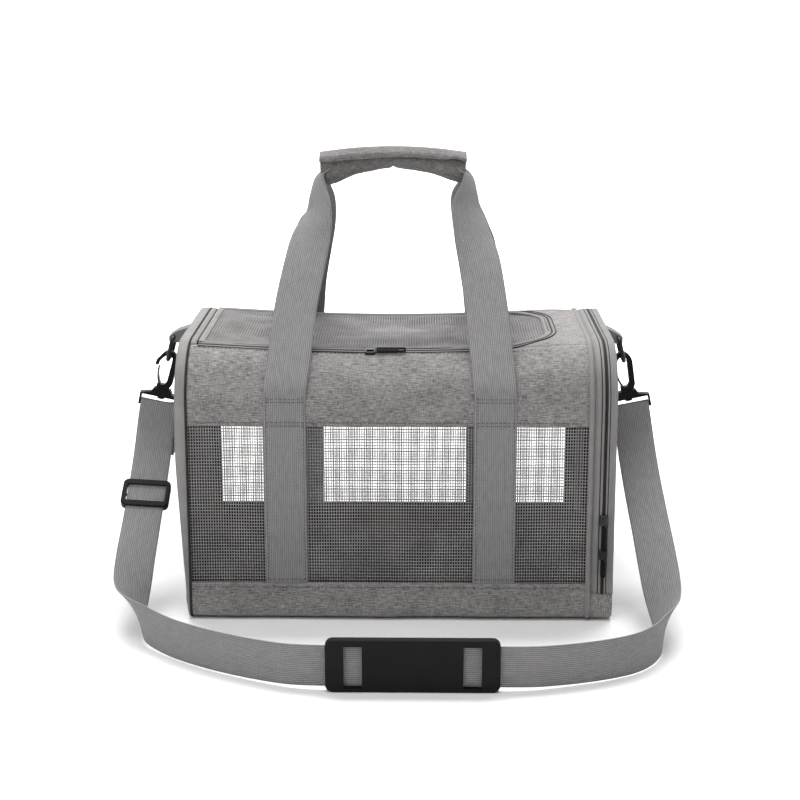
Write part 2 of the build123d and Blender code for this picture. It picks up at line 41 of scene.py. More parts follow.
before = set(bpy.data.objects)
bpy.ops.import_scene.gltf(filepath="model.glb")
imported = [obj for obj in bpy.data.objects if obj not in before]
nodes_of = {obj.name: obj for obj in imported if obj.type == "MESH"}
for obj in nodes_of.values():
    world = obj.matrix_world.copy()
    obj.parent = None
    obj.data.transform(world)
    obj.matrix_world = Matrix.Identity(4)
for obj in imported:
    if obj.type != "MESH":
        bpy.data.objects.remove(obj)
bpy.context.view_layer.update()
MM = 0.001

# ---- places read from the frame ----
panel_low, panel_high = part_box("front_upper_panel")
window_low, window_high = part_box("front_mesh_window")
end_low, end_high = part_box("left_end_panel")
door_low, door_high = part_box("end_door_panel")
border_low, border_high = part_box("top_flap_border")
pad_low, pad_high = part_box("shoulder_pad")
wrap_low, wrap_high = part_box("grip_wrap_front")
mat_low, mat_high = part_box("fleece_mat")
seam_left, seam_right = panel_low.x, panel_high.x
half_width = end_high.y
body_bottom, body_top = end_low.z, end_high.z
window_bottom, window_top = window_low.z, window_high.z
flap_start, flap_end, flap_half = border_low.x, border_high.x, border_high.y
wrap_start, wrap_end = wrap_low.x, wrap_high.x

# ---- sizes of the cloth ----
shoulder = 60 * MM            # radius of the rounded top edges
skirt = 9 * MM                # radius of the rounded bottom edges
flap_corner = 66 * MM         # radius of the flap's corners at its free end
flap_band = 7 * MM            # piped edge of the flap, outside its netting
cloth = 1.6 * MM              # thickness of the body's cloth
top_sag = 7 * MM              # how far the cloth top hangs down in the middle
foot_swell = 3.4 * MM         # how far the foot of the bag bellies
foot_tuck = 8.5 * MM          # how far the left end leans in at its foot
door_seam = 30 * MM           # height at which the door's gusset ends
net_pitch_x, net_pitch_z = 2.6 * MM, 3.3 * MM
flap_net_pitch = 2.7 * MM
strap_width, strap_thickness = 40 * MM, 1.9 * MM
handle_width, handle_thickness = 43 * MM, 1.8 * MM
left_strap_x, right_strap_x = -0.1085, 0.1015
sewn_low, sewn_high = 0.042, 0.238                  # ends of the stitching along the sewn webbing
sewn_rows = (0.205, 0.2085, 0.2290, 0.2325, 0.0440)  # heights of the stitching across it
# The groove beads along the door zip are near black: painted shade in its seams.
coil_radius, groove_shade_radius = 0.93 * MM, 0.6 * MM
window_strand, flap_strand = (0.82 * MM, 0.4 * MM), (1.5 * MM, 0.7 * MM)  # width and thickness
mat_pressure, mat_frames, mat_puff = 4.0, 15, 1.5 * MM  # the mat's simulation and how far it may swell
quilt_height, quilt_turns = 1.2 * MM, 95
rib_pitch, pick_pitch = 1.9 * MM, 1.5 * MM


# ---------------------------------------------------------------- materials

class Shade:
    """A material with a Principled shader, and short calls that add nodes to it."""

    def __init__(self, name):
        self.material = bpy.data.materials.new(name)
        self.material.use_nodes = True
        self.nodes = self.material.node_tree.nodes
        self.links = self.material.node_tree.links
        self.nodes.clear()
        output = self.nodes.new("ShaderNodeOutputMaterial")
        self.shader = self.nodes.new("ShaderNodeBsdfPrincipled")
        self.links.new(self.shader.outputs[0], output.inputs[0])

    def add(self, kind, inputs, output=0, **settings):
        """A node with its settings, and with numbers or other nodes' outputs in its inputs."""
        node = self.nodes.new("ShaderNode" + kind)
        for key, value in settings.items():
            setattr(node, key, value)
        for key, value in inputs.items():
            if isinstance(value, bpy.types.NodeSocket):
                self.links.new(value, node.inputs[key])
            else:
                node.inputs[key].default_value = value
        return node.outputs[output]

    def cloth(self, x=1, y=1, z=1):
        """Coordinates in metres of cloth, times a scale."""
        return self.add("Mapping", {0: self.add("UVMap", {}, uv_map="cloth"), "Scale": (x, y, z)})

    def solid(self):
        """Coordinates in metres in the object."""
        return self.add("Mapping", {0: self.add("TexCoord", {}, "Object")})

    def noise(self, vector, scale=1.0, detail=2.0, roughness=0.5):
        values = {"Vector": vector, "Scale": scale, "Detail": detail, "Roughness": roughness}
        return self.add("TexNoise", values, "Fac")

    def wave(self, vector, axis, turns):
        """Sine ribs along one coordinate, turns per metre of that coordinate."""
        values = {"Vector": vector, "Scale": turns * math.pi / 10}
        return self.add("TexWave", values, "Fac", wave_type="BANDS", bands_direction=axis)

    def maths(self, operation, a, b):
        return self.add("Math", {0: a, 1: b}, operation=operation)

    def sum_of(self, *terms):
        """Sum of (value, weight) pairs."""
        parts = [self.maths("MULTIPLY", value, weight) for value, weight in terms]
        total = parts[0]
        for part in parts[1:]:
            total = self.maths("ADD", total, part)
        return total

    def colours(self, value, *stops):
        """Base colour from a ramp with two (place, colour) stops."""
        colour = self.add("ValToRGB", {0: value})
        for element, (place, tone) in zip(colour.node.color_ramp.elements, stops):
            element.position = place
            element.color = (*tone, 1.0)
        self.links.new(colour, self.shader.inputs["Base Color"])

    def remap(self, value, socket, to, start=(0.0, 1.0)):
        """The shader's socket from a value, moved from one range to another."""
        ranges = dict(zip(("From Min", "From Max", "To Min", "To Max"), (*start, *to)))
        self.links.new(self.add("MapRange", {"Value": value, **ranges}), self.shader.inputs[socket])

    def bump(self, height, distance, strength):
        values = {"Strength": strength, "Distance": distance, "Height": height}
        self.links.new(self.add("Bump", values), self.shader.inputs["Normal"])

    def finished(self, **values):
        """The material, with roughness, sheen or specular set where given."""
        sockets = {"roughness": "Roughness", "sheen": "Sheen Weight", "specular": "Specular IOR Level"}
        for key, value in values.items():
            self.shader.inputs[sockets[key]].default_value = value
        return self.material


def heather(name, dark, light):
    """Linen-look polyester: slubby threads both ways, longer along the cloth's first coordinate."""
    shade = Shade(name)
    along = shade.noise(shade.cloth(120, 900), detail=3.0, roughness=0.65)
    across = shade.noise(shade.cloth(900, 160), detail=3.0, roughness=0.65)
    cloud = shade.noise(shade.cloth(30, 42))
    threads = shade.sum_of((along, 0.55), (across, 0.35), (cloud, 0.12))
    shade.colours(threads, (0.39, dark), (0.64, light))
    weave = shade.maths("MULTIPLY", *(shade.wave(shade.cloth(), axis, 1400) for axis in "XY"))
    shade.bump(shade.maths("ADD", weave, shade.maths("MULTIPLY", threads, 1.5)), 0.0003, 0.7)
    return shade.finished(roughness=0.92, sheen=0.15, specular=0.2)


def plain_cloth(name, colour, darker, roughness=0.8, ribs=1800, sheen=0.1):
    """Fine smooth cloth or binding tape with a faint weave."""
    shade = Shade(name)
    vector = shade.cloth()
    cloud = shade.noise(shade.cloth(60, 60, 60), detail=3.0)
    fine = shade.noise(shade.cloth(900, 900), detail=1.0)
    shade.colours(shade.sum_of((cloud, 0.6), (fine, 0.4)), (0.3, darker), (0.7, colour))
    weave = shade.maths("ADD", shade.wave(vector, "X", ribs), shade.wave(vector, "Y", ribs))
    shade.bump(weave, 0.0001, 0.6)
    return shade.finished(roughness=roughness, sheen=sheen, specular=0.1)


def webbing_material(name, colour, darker):
    """Ribbed webbing. The cloth layer's first coordinate runs along it, the second across it."""
    shade = Shade(name)
    vector = shade.cloth()
    ribs = shade.wave(vector, "Y", 1 / rib_pitch)
    picks = shade.wave(vector, "X", 1 / pick_pitch)
    cloud = shade.noise(shade.cloth(90, 260))
    weave = shade.maths("MULTIPLY", shade.maths("ADD", picks, 0.6), ribs)
    shade.colours(shade.sum_of((weave, 0.45), (cloud, 0.35)), (0.1, darker), (0.75, colour))
    shade.bump(weave, 0.0004, 0.8)
    return shade.finished(roughness=0.75, sheen=0.1, specular=0.3)


def moulded(name, colour, roughness, grain=900.0, depth=0.00006, shine=0.2):
    """Moulded plastic, rubber, thread or enamelled metal with a fine grain."""
    shade = Shade(name)
    fine = shade.noise(shade.solid(), grain)
    cloud = shade.noise(shade.solid(), 40.0, 3.0)
    shade.colours(cloud, (0.3, colour), (0.75, tuple(c * 1.4 + 0.002 for c in colour)))
    shade.remap(cloud, "Roughness", (roughness - 0.06, roughness + 0.1))
    shade.bump(fine, depth, 0.6)
    return shade.finished(specular=shine)


cloth_body = heather("heathered_fabric", (0.09, 0.085, 0.083), (0.40, 0.383, 0.378))
cloth_grip = heather("heathered_fabric_grip", (0.085, 0.081, 0.079), (0.27, 0.26, 0.254))
cloth_end = plain_cloth("smooth_end_fabric", (0.29, 0.281, 0.277), (0.225, 0.218, 0.214))
cloth_binding = plain_cloth("smooth_binding", (0.26, 0.252, 0.248), (0.205, 0.199, 0.195))
# Near-black cloth for the left piping cord: painted shade of the seam groove there.
painted_seam_shade = plain_cloth("seam_shade", (0.045, 0.044, 0.043), (0.02, 0.02, 0.02), sheen=0.0)
cloth_lining = plain_cloth("dark_lining", (0.010, 0.010, 0.0105), (0.005, 0.005, 0.005), sheen=0.0)
cloth_mat = plain_cloth("fleece", (0.020, 0.0195, 0.020), (0.009, 0.009, 0.009), 1.0, 500, 0.0)
thread = moulded("net_thread", (0.27, 0.262, 0.258), 0.7, 2500)
thread_light = moulded("net_thread_light", (0.2, 0.194, 0.193), 0.7, 2500)
sewing_dark = moulded("sewing_thread_dark", (0.075, 0.073, 0.072), 0.8, 4000)
# Handle webbing: its own grey raised a little to stand in for the light its legs get from above, so this
# colour is partly painted light.
handle_webbing_with_painted_light = webbing_material("handle_webbing", (0.335, 0.328, 0.332), (0.134, 0.131, 0.133))
webbing_strap = webbing_material("strap_webbing", (0.32, 0.314, 0.319), (0.128, 0.125, 0.128))
# Near black for the zip coils, and for the thin beads that are painted shade in the zip seams.
coil_and_seam_shade = moulded("zip_coil", (0.02, 0.02, 0.02), 0.6, 3000)
plastic = moulded("black_plastic", (0.004, 0.004, 0.0045), 0.42, 1800, shine=0.1)
rubber = moulded("black_rubber", (0.006, 0.0057, 0.0059), 0.66, 1500, 0.00012, 0.14)
enamel = moulded("black_enamel", (0.006, 0.006, 0.0065), 0.3, 1200, shine=0.4)


# ---------------------------------------------------------------- mesh helpers

def place_object(name, data):
    piece = bpy.data.objects.new(name, data)
    bpy.context.scene.collection.objects.link(piece)
    return piece


def mesh_object(name, points, faces, materials, uv=None, indices=None):
    """Closed mesh with outward normals. uv holds one pair of cloth metres for each point."""
    mesh = bpy.data.meshes.new(name)
    mesh.from_pydata([tuple(p) for p in points], [], [tuple(int(i) for i in f) for f in faces])
    for material in materials:
        mesh.materials.append(material)
    if uv is not None:
        layer = mesh.uv_layers.new(name="cloth")
        corner = np.empty(len(mesh.loops), np.int32)
        mesh.loops.foreach_get("vertex_index", corner)
        layer.data.foreach_set("uv", np.asarray(uv, np.float32)[corner].ravel())
    if indices is not None:
        mesh.polygons.foreach_set("material_index", np.asarray(indices, np.int32))
    mesh.polygons.foreach_set("use_smooth", np.full(len(mesh.polygons), True))
    shape = bmesh.new()
    shape.from_mesh(mesh)
    bmesh.ops.recalc_face_normals(shape, faces=shape.faces)
    shape.to_mesh(mesh)
    shape.free()
    mesh.update()
    return place_object(name, mesh)


def grid_faces(rows, columns, start=0, wrap_rows=False, wrap_columns=False):
    """Quads between the points of a grid that is stored row by row."""
    faces = []
    for i in range(rows if wrap_rows else rows - 1):
        for j in range(columns if wrap_columns else columns - 1):
            row, next_row = start + i * columns, start + (i + 1) % rows * columns
            next_j = (j + 1) % columns
            faces.append((row + j, row + next_j, next_row + next_j, next_row + j))
    return faces


def tube_faces(rows, columns, start=0):
    """Quads of a tube with both ends closed."""
    last = start + (rows - 1) * columns
    ends = [tuple(range(start, start + columns)), tuple(range(last, last + columns))]
    return grid_faces(rows, columns, start, wrap_columns=True) + ends


def closed_sheet(name, outer, inner, uv, materials, wrap_rows=False, capped=False):
    """Closed cloth between two matching grids. The inner side takes the second material.
    A capped sheet's last column is closed over by one face on each side."""
    rows, columns = outer.shape[:2]
    count = rows * columns
    front = grid_faces(rows, columns, 0, wrap_rows)
    back = grid_faces(rows, columns, count, wrap_rows)
    borders = []
    for i in range(rows if wrap_rows else rows - 1):
        for j in (0,) if capped else (0, columns - 1):
            borders.append((i * columns + j, (i + 1) % rows * columns + j))
    if not wrap_rows:
        for j in range(columns - 1):
            borders += [(i * columns + j, i * columns + j + 1) for i in (0, rows - 1)]
    edge = [(a, b, b + count, a + count) for a, b in borders]
    if capped:
        rim = [i * columns + columns - 1 for i in range(rows)]
        front.append(tuple(rim))
        back.append(tuple(count + i for i in rim))
    second = 1 if len(materials) > 1 else 0
    indices = [0] * len(front) + [second] * len(back) + [0] * len(edge)
    points = np.concatenate([outer.reshape(-1, 3), inner.reshape(-1, 3)])
    uv = np.concatenate([uv.reshape(-1, 2)] * 2)
    return mesh_object(name, points, front + back + edge, materials, uv, indices)


def lengths_along(path):
    """Distance from the start of a path to each of its points."""
    gaps = np.linalg.norm(np.diff(path, axis=0), axis=1)
    return np.concatenate([[0.0], np.cumsum(gaps)])


def sweep(name, centres, across, normals, profile, materials, closed=False, scales=None):
    """Closed profile of (across, normal) pairs carried along a line of frames."""
    rows, columns = len(centres), len(profile)
    scales = np.ones(rows) if scales is None else scales
    points, uv = [], []
    for centre, side, normal, size, run in zip(centres, across, normals, scales, lengths_along(centres)):
        points += [np.asarray(centre) + np.asarray(side) * u * size + np.asarray(normal) * v
                   for u, v in profile]
        uv += [(run, u) for u, v in profile]
    faces = grid_faces(rows, columns, 0, True, True) if closed else tube_faces(rows, columns)
    return mesh_object(name, points, faces, materials, uv)


def joined(name, pieces):
    """One object from several. The first one's materials come first."""
    bpy.ops.object.select_all(action="DESELECT")
    for piece in pieces:
        piece.select_set(True)
    bpy.context.view_layer.objects.active = pieces[0]
    bpy.ops.object.join()
    pieces[0].name = name
    pieces[0].data.name = name
    return pieces[0]


def soften(piece, width, segments=2, angle=50):
    """Small rounded edges."""
    modifier = piece.modifiers.new("soft_edges", "BEVEL")
    modifier.width = width
    modifier.segments = segments
    modifier.limit_method = "ANGLE"
    modifier.angle_limit = math.radians(angle)


def finish_piece(piece, body, slot, *nodes):
    """A blended piece has no body of its own: its body is None."""
    if body:
        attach(piece, body)
    if nodes:
        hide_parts(*nodes)
    return piece


def unit(v):
    v = np.asarray(v, float)
    return v / max(np.linalg.norm(v), 1e-9)


def steps(low, high, size):
    return np.linspace(low, high, max(2, int(round(abs(high - low) / size)) + 1))


def bell(value, centre, width):
    return math.exp(-((value - centre) / width) ** 2)


def ridge(x, y, z):
    return noise.noise(Vector((x, y, z)))


# ---------------------------------------------------------------- the bag's cross-section

flat_top = half_width - shoulder
arc_top = flat_top + shoulder * math.pi / 2
arc_face = arc_top + (body_top - shoulder) - (body_bottom + skirt)
arc_skirt = arc_face + skirt * math.pi / 2
arc_end = arc_skirt + half_width - skirt


def outline(s):
    """Point and outward normal (y, z, ny, nz) at the signed distance s round the section.
    Zero is the middle of the top, negative is the front."""
    side, d = (-1 if s < 0 else 1), abs(s)
    if d <= flat_top:
        return side * d, body_top, 0.0, 1.0
    if d <= arc_top:
        ny, nz = math.sin((d - flat_top) / shoulder), math.cos((d - flat_top) / shoulder)
        return side * (flat_top + shoulder * ny), body_top - shoulder + shoulder * nz, side * ny, nz
    if d <= arc_face:
        return side * half_width, body_top - shoulder - (d - arc_top), side * 1.0, 0.0
    if d <= arc_skirt:
        ny, nz = math.cos((d - arc_face) / skirt), -math.sin((d - arc_face) / skirt)
        return side * (half_width - skirt + skirt * ny), body_bottom + skirt + skirt * nz, side * ny, nz
    return side * (half_width - skirt - (d - arc_skirt)), body_bottom, 0.0, -1.0


def arc_at_height(z):
    """Distance round the section to a height on the straight face."""
    return arc_top + (body_top - shoulder) - z


def arc_at_y(y):
    """Distance round the section to a place on the rounded shoulder."""
    return flat_top + shoulder * math.asin((y - flat_top) / shoulder)


def sag(x, z):
    """How far the cloth top hangs down between the two stiff ends."""
    share = (x - (seam_left + seam_right) / 2) / ((seam_right - seam_left) / 2)
    across = max(0.0, 1 - share * share) ** 1.2
    rise = min(1.0, max(0.0, (z - window_top) / (body_top - window_top)))
    return top_sag * across * rise * rise * (3 - 2 * rise)


def swell(s):
    """The foot of the bag bellies out and down between its feet."""
    d = abs(s)
    if d < arc_skirt:
        share = min(1.0, max(0.0, (d - arc_face + 50 * MM) / (48 * MM)))
    else:
        share = max(0.0, 1 - (d - arc_skirt) / (32 * MM))
    return foot_swell * share * share * (3 - 2 * share)


def tuck(x, z):
    """How far the left end leans in towards its foot."""
    if x > seam_left:
        return 0.0
    share = (seam_left - x) / (seam_left - end_low.x)
    low = max(0.0, 1 - z / 0.17)
    return share * (foot_tuck * low ** 1.4 - 1.0 * MM * bell(z, 0.18, 0.05))


def skin_point(x, s, lift=0.0):
    y, z, ny, nz = outline(s)
    lift = lift + swell(s)
    z = z + nz * lift
    return (x, y + ny * lift, z - sag(x, z))


def skin_sheet(name, places, thickness, materials, uv, wrap_rows=False):
    """Closed cloth on the bag's surface, over rows of (x, distance round the section, lift)."""
    outer, inner = (
        np.array([[skin_point(x, s, lift - sink) for x, s, lift in row] for row in places])
        for sink in (0.0, thickness))
    for grid in (outer, inner):
        for point in grid.reshape(-1, 3):
            point[0] += tuck(point[0], point[2])
    return closed_sheet(name, outer, inner, uv, materials, wrap_rows)


def panel_sheet(name, xs, arcs, lift, materials):
    """Sheet over xs and distances round the section, raised by lift(x, s)."""
    places = np.array([[(x, s, lift(x, s)) for s in arcs] for x in xs])
    return skin_sheet(name, places, cloth, materials, places[:, :, :2])


# ---------------------------------------------------------------- camera

camera_data = bpy.data.cameras.new("camera")
camera = place_object("camera", camera_data)
camera.location = (0.0286, -1.7923, 0.635)
camera.rotation_euler = (math.radians(90 - 13.72), 0.0, math.radians(0.768))
camera_data.lens = 77.2
camera_data.sensor_width = 36.0
camera_data.clip_end = 50.0
bpy.context.scene.camera = camera


# ---------------------------------------------------------------- webbing and the shoulder strap

def flat_profile(width, thickness, columns=12):
    """Webbing's section: flat, with a rounded selvedge on both sides."""
    edge, half = width / 2, thickness / 2
    across = np.linspace(-edge + 0.5 * MM, edge - 0.5 * MM, columns)
    low = half * 0.4
    return ([(u, half) for u in across] + [(edge, low), (edge, -low)]
            + [(u, -half) for u in across[::-1]] + [(-edge, -low), (-edge, low)])


def route_points(points):
    """The route as a smooth line: a NURBS spline with the route's points as its control points."""
    curve = bpy.data.curves.new("route", "CURVE")
    curve.dimensions = "3D"
    curve.resolution_u = 10
    spline = curve.splines.new("NURBS")
    spline.points.add(len(points) - 1)
    for point, place in zip(spline.points, points):
        point.co = (*place, 1.0)
    spline.order_u = 3
    spline.use_endpoint_u = True
    line = place_object("route", curve)
    bpy.context.view_layer.update()
    mesh = bpy.data.meshes.new_from_object(line)
    path = np.array([tuple(v.co) for v in mesh.vertices])
    bpy.data.objects.remove(line)
    return path


def strap_along(name, path, edges):
    """Strap webbing on a path. edges holds (share of the length, direction of one edge)."""
    run = lengths_along(path)
    stops = [share for share, _ in edges]
    wanted = np.array([unit(v) for _, v in edges])
    across, normals = [], []
    for place, tangent in zip(run / run[-1], np.gradient(path, axis=0)):
        tangent = unit(tangent)
        vector = np.array([np.interp(place, stops, wanted[:, k]) for k in range(3)])
        across.append(unit(vector - tangent * vector.dot(tangent)))
        normals.append(unit(np.cross(across[-1], tangent)))
    return sweep(name, path, across, normals, flat_profile(strap_width, strap_thickness), [webbing_strap])


pad_middle = ((pad_low.x + pad_high.x) / 2, (pad_low.y + pad_high.y) / 2, 0.0255)
left_route = [
    (-0.2540, -0.0030, 0.1955), (-0.2552, -0.0060, 0.1890), (-0.2578, -0.0062, 0.1740),
    (-0.2600, -0.0340, 0.1358), (-0.2625, -0.1000, 0.0859), (-0.2640, -0.1380, 0.0600),
    (-0.2630, -0.1720, 0.0365), (-0.2510, -0.2070, 0.0245), (-0.2180, -0.2430, 0.0214),
    (-0.1760, -0.2740, 0.0214), (-0.1280, -0.3000, 0.0216), (-0.0760, -0.3210, 0.0232), pad_middle,
]
right_route = [
    (0.2510, -0.0030, 0.1950), (0.2521, -0.0060, 0.1885), (0.2546, -0.0062, 0.1735),
    (0.2585, -0.0340, 0.1363), (0.2620, -0.0740, 0.1065), (0.2650, -0.1200, 0.0806),
    (0.2675, -0.1640, 0.0540), (0.2690, -0.2050, 0.0320), (0.2610, -0.2440, 0.0236),
    (0.2380, -0.2760, 0.0214), (0.2020, -0.2960, 0.0214), (0.1600, -0.3100, 0.0216),
    (0.1180, -0.3210, 0.0232), pad_middle,
]
left_edges = [
    (0.0, (-0.978, 0, 0.208)), (0.08, (-0.998, 0, 0.061)), (0.25, (-1, 0, 0.05)),
    (0.36, (-0.93, -0.05, 0.35)), (0.43, (-0.6, 0.1, 0.8)), (0.50, (-0.12, 0.1, 1)),
    (0.58, (0, 0, 1)), (1.0, (0, 0, 1)),
]
right_edges = [
    (0.0, (0.978, 0, 0.208)), (0.08, (0.995, 0, 0.1)), (0.27, (1, 0, 0.12)),
    (0.38, (0.93, -0.05, 0.35)), (0.46, (0.6, 0.1, 0.8)), (0.53, (0.12, 0.1, 1)),
    (0.60, (0, 0, 1)), (1.0, (0, 0, 1)),
]
left_path = route_points(left_route)
right_path = route_points(right_route)
strap_left = strap_along("strap_left", left_path, left_edges)
strap_right = strap_along("strap_right", right_path, right_edges)

# The sewn loop behind each hang: round the hook's bar and down to the stitching.
left_back_path = route_points([
    (-0.2540, -0.0030, 0.1955), (-0.2536, 0.0050, 0.1945), (-0.2526, 0.0066, 0.1880),
    (-0.2518, 0.0070, 0.1760), (-0.2530, -0.0065, 0.1590), (-0.2575, -0.0200, 0.1450)])
right_back_path = route_points([
    (0.2510, -0.0030, 0.1950), (0.2511, 0.0050, 0.1940), (0.2522, 0.0062, 0.1875),
    (0.2546, 0.0050, 0.1750), (0.2563, -0.0030, 0.1640)])
strap_left_back, strap_right_back = (
    strap_along(name, path, [(0.0, edges[0][1]), (1.0, edges[1][1])])
    for name, path, edges in (("strap_left_back", left_back_path, left_edges),
                              ("strap_right_back", right_back_path, right_edges)))

finish_piece(strap_left, "carrier", "strap_webbing", "strap_left_hang", "strap_floor_run")
finish_piece(strap_left_back, "carrier", "strap_webbing", "strap_left_return")
finish_piece(strap_right, None, "strap_webbing", "strap_right_hang")
finish_piece(strap_right_back, "end_door", "strap_webbing")
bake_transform(strap_right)


# ---------------------------------------------------------------- shell panels

def wave(x, s, size, seed):
    """Soft waves in cloth, size metres high."""
    broad = ridge(x * 14 + seed, s * 18, seed)
    fine = ridge(x * 42 + seed, s * 50, seed + 7.3)
    return size * (broad * 0.75 + fine * 0.25)


def flap_distance(x, y):
    """How far outside the flap's outline a place on the cloth is, seen from above."""
    over_x = x - (flap_end - flap_corner)
    over_y = abs(y) - (flap_half - flap_corner)
    if over_x <= 0:
        return max(0.0, over_y - flap_corner)
    return max(0.0, math.hypot(over_x, max(0.0, over_y)) - flap_corner)


def held(distance, reach):
    """0 at a seam, rising to 1 at reach from it."""
    return min(1.0, max(0.0, distance / reach)) ** 0.7


def ends_held(x):
    return held(min(x - seam_left, seam_right - x), 20 * MM)


def upper_lift(x, s):
    """Rumpled cloth round the top opening: held by the zip, the window's seam and both ends."""
    free = held(flap_distance(x, outline(s)[0]), 14 * MM) * held(window_arc_top - abs(s), 14 * MM)
    pleats = 1.2 * MM * ridge(x * 9, s * 70, 4.4) * max(0.0, (x - 0.09) / 0.11)
    return ends_held(x) * free * (1.4 * MM + wave(x, s, 2.2 * MM, 3.1) + pleats)


def band_lift(x, s):
    """Rumpled cloth of the band under the window."""
    free = held(abs(s) - window_arc_low, 10 * MM) * held(arc_skirt - abs(s), 10 * MM)
    return ends_held(x) * free * (1.0 * MM + wave(x, s, 1.4 * MM, 5.7))


sides = ((-1, "front"), (1, "rear"))
body_cloths = [cloth_body, cloth_lining]
end_cloths = [cloth_end, cloth_lining]
binding_cloths = [cloth_binding, cloth_lining]
zip_arc = arc_at_y(flap_half + 0.8 * MM)
window_arc_top = arc_at_height(window_top)
window_arc_low = arc_at_height(window_bottom)
long_steps = steps(seam_left, seam_right, 5 * MM)
for side, side_name in sides:
    for panel_name, low, high, lift in (("upper_panel", zip_arc, window_arc_top, upper_lift),
                                        ("lower_band", window_arc_low, arc_skirt, band_lift)):
        arcs = side * steps(low, high, 4 * MM)
        panel = panel_sheet(f"{side_name}_{panel_name}_cloth", long_steps, arcs, lift, body_cloths)
        finish_piece(panel, "carrier", "heathered_fabric", f"{side_name}_{panel_name}")

base_arcs = steps(-(half_width - skirt), half_width - skirt, 12 * MM)
base_grid = np.array([[(x, y, body_bottom - swell(arc_end - abs(y))) for y in base_arcs] for x in long_steps])
finish_piece(closed_sheet("base_cloth", base_grid, base_grid + (0, 0, 2.4 * MM), base_grid[:, :, :2],
                          body_cloths),
             "carrier", "heathered_fabric", "base_panel")


def ring_samples():
    """Places round the whole section, close together on its corners."""
    marks = [0.0, flat_top, arc_top, arc_face, arc_skirt, arc_end]
    gaps = [12 * MM, 5 * MM, 10 * MM, 3 * MM, 12 * MM]
    half = []
    for low, high, gap in zip(marks, marks[1:], gaps):
        half += list(steps(low, high, gap))[:-1]
    return np.array([-v for v in half[:0:-1]] + half + [arc_end])


def ring_down_to(z):
    """Places round the section, over the top, down to a height on both faces."""
    limit = arc_at_height(z)
    return np.concatenate([[-limit], [s for s in ring if abs(s) < limit], [limit]])


def section_band(name, columns, thickness, materials, lift=lambda x, s: 0.0, places=None):
    """Strip of cloth round the section. columns holds (x, lift in millimetres) pairs across it."""
    around = ring if places is None else places
    rows = [[(x, s, v * MM + lift(x, s)) for x, v in columns] for s in around]
    uv = np.array([[(s, x) for x, v in columns] for s in around])
    return skin_sheet(name, rows, thickness, materials, uv, wrap_rows=places is None)


def loop_sweep(name, x, radius, material, places=None, lift=0.0):
    """Round bead round the section at one x."""
    around = ring if places is None else places
    centres = np.array([skin_point(x, s, lift) for s in around])
    normals = [(0.0, *outline(s)[2:]) for s in around]
    across = [(1.0, 0.0, 0.0)] * len(around)
    turns = np.linspace(0, 2 * math.pi, 9)[:-1]
    profile = [(radius * math.cos(a), radius * math.sin(a)) for a in turns]
    return sweep(name, centres, across, normals, profile, [material], closed=places is None)


# left end: smooth gusset, corded piping coloured near black as painted shade of its seam groove, and a
# slightly domed end panel
ring = ring_samples()
gusset_columns = [(end_low.x + 0.5 * MM, 0.0), (end_low.x + 3 * MM, 0.9), (-0.2115, 1.0),
                  (-0.2085, 0.2), (seam_left + 0.3 * MM, -0.6)]
finish_piece(section_band("left_gusset_cloth", gusset_columns, 2 * MM, end_cloths,
                          lambda x, s: wave(x * 3, s, 0.5 * MM, 8.8)),
             "carrier", "end_fabric", "left_gusset")
finish_piece(loop_sweep("left_piping_cord", seam_left, 1.3 * MM, painted_seam_shade, lift=0.1 * MM),
             "carrier", "smooth_binding", "left_piping")


def end_sheet(name, x, way, low_z, seed):
    """Domed end panel. Its rim follows the section, and it is cut off straight below low_z."""
    middle = np.array((0.0, (body_bottom + body_top) / 2))
    dome = thickness = 2.5 * MM
    outer, inner, uv = [], [], []
    for s in ring:
        y, z = outline(s)[:2]
        rim = np.array((y, max(z, low_z))) - middle
        rows, backs, flat = [], [], []
        for k in (1.0, 0.985, 0.95, 0.88, 0.78, 0.65, 0.5, 0.34, 0.18, 0.05):
            point = middle + rim * k
            ripple = 0.8 * MM * ridge(point[0] * 16 + seed, point[1] * 16, seed)
            bulge = dome * (1 - k ** 4) + (1 - k) * ripple
            foot = tuck(x, point[1])
            rows.append((x + foot + way * bulge, *point))
            backs.append((x + foot + way * (bulge - thickness), *point))
            flat.append(tuple(point))
        outer.append(rows)
        inner.append(backs)
        uv.append(flat)
    return closed_sheet(name, *map(np.array, (outer, inner, uv)), end_cloths, wrap_rows=True, capped=True)


finish_piece(end_sheet("left_end_cloth", end_low.x, -1, 0.0, 2.2),
             "carrier", "end_fabric", "left_end_panel")
finish_piece(end_sheet("end_door_cloth", door_high.x - 0.2 * MM, 1, door_low.z, 9.1),
             "end_door", "end_fabric", "end_door_panel")

# right end: piping, a groove, tape and the door's zip; the near-black beads along the outer edges of the zip
# tapes are painted shade in the seams
open_arc = arc_at_height(door_seam)
lower_ring = np.concatenate([
    [open_arc], [s for s in ring if s > open_arc], [-s for s in ring[::-1] if s > open_arc][1:], [-open_arc]])
for name, columns, thickness, cloths, places, slot, nodes in (
        ("right_piping_cord",
         [(seam_right - 1.5 * MM, 0.2), (seam_right, 1.7), (0.1985, 1.8), (0.2000, 0.2)],
         2.2 * MM, binding_cloths, None, "smooth_binding", ["right_piping"]),
        ("right_gusset_cloth",
         [(0.1995, -0.9), (0.2020, -0.9), (0.2025, 0.3), (0.2065, 0.5), (0.2075, 0.0)],
         1.5 * MM, binding_cloths, ring_down_to(door_seam), "heathered_fabric",
         ["right_gusset_top", "right_gusset_front", "right_gusset_rear"]),
        ("right_gusset_low_cloth",
         [(0.1990, -0.4), (0.2030, 0.4), (0.2120, 0.7), (0.2200, 0.5), (0.2222, -0.6)],
         2.2 * MM, body_cloths, lower_ring, "heathered_fabric", ["right_gusset_bottom"])):
    finish_piece(section_band(name, columns, thickness, cloths, places=places), "carrier", slot, *nodes)

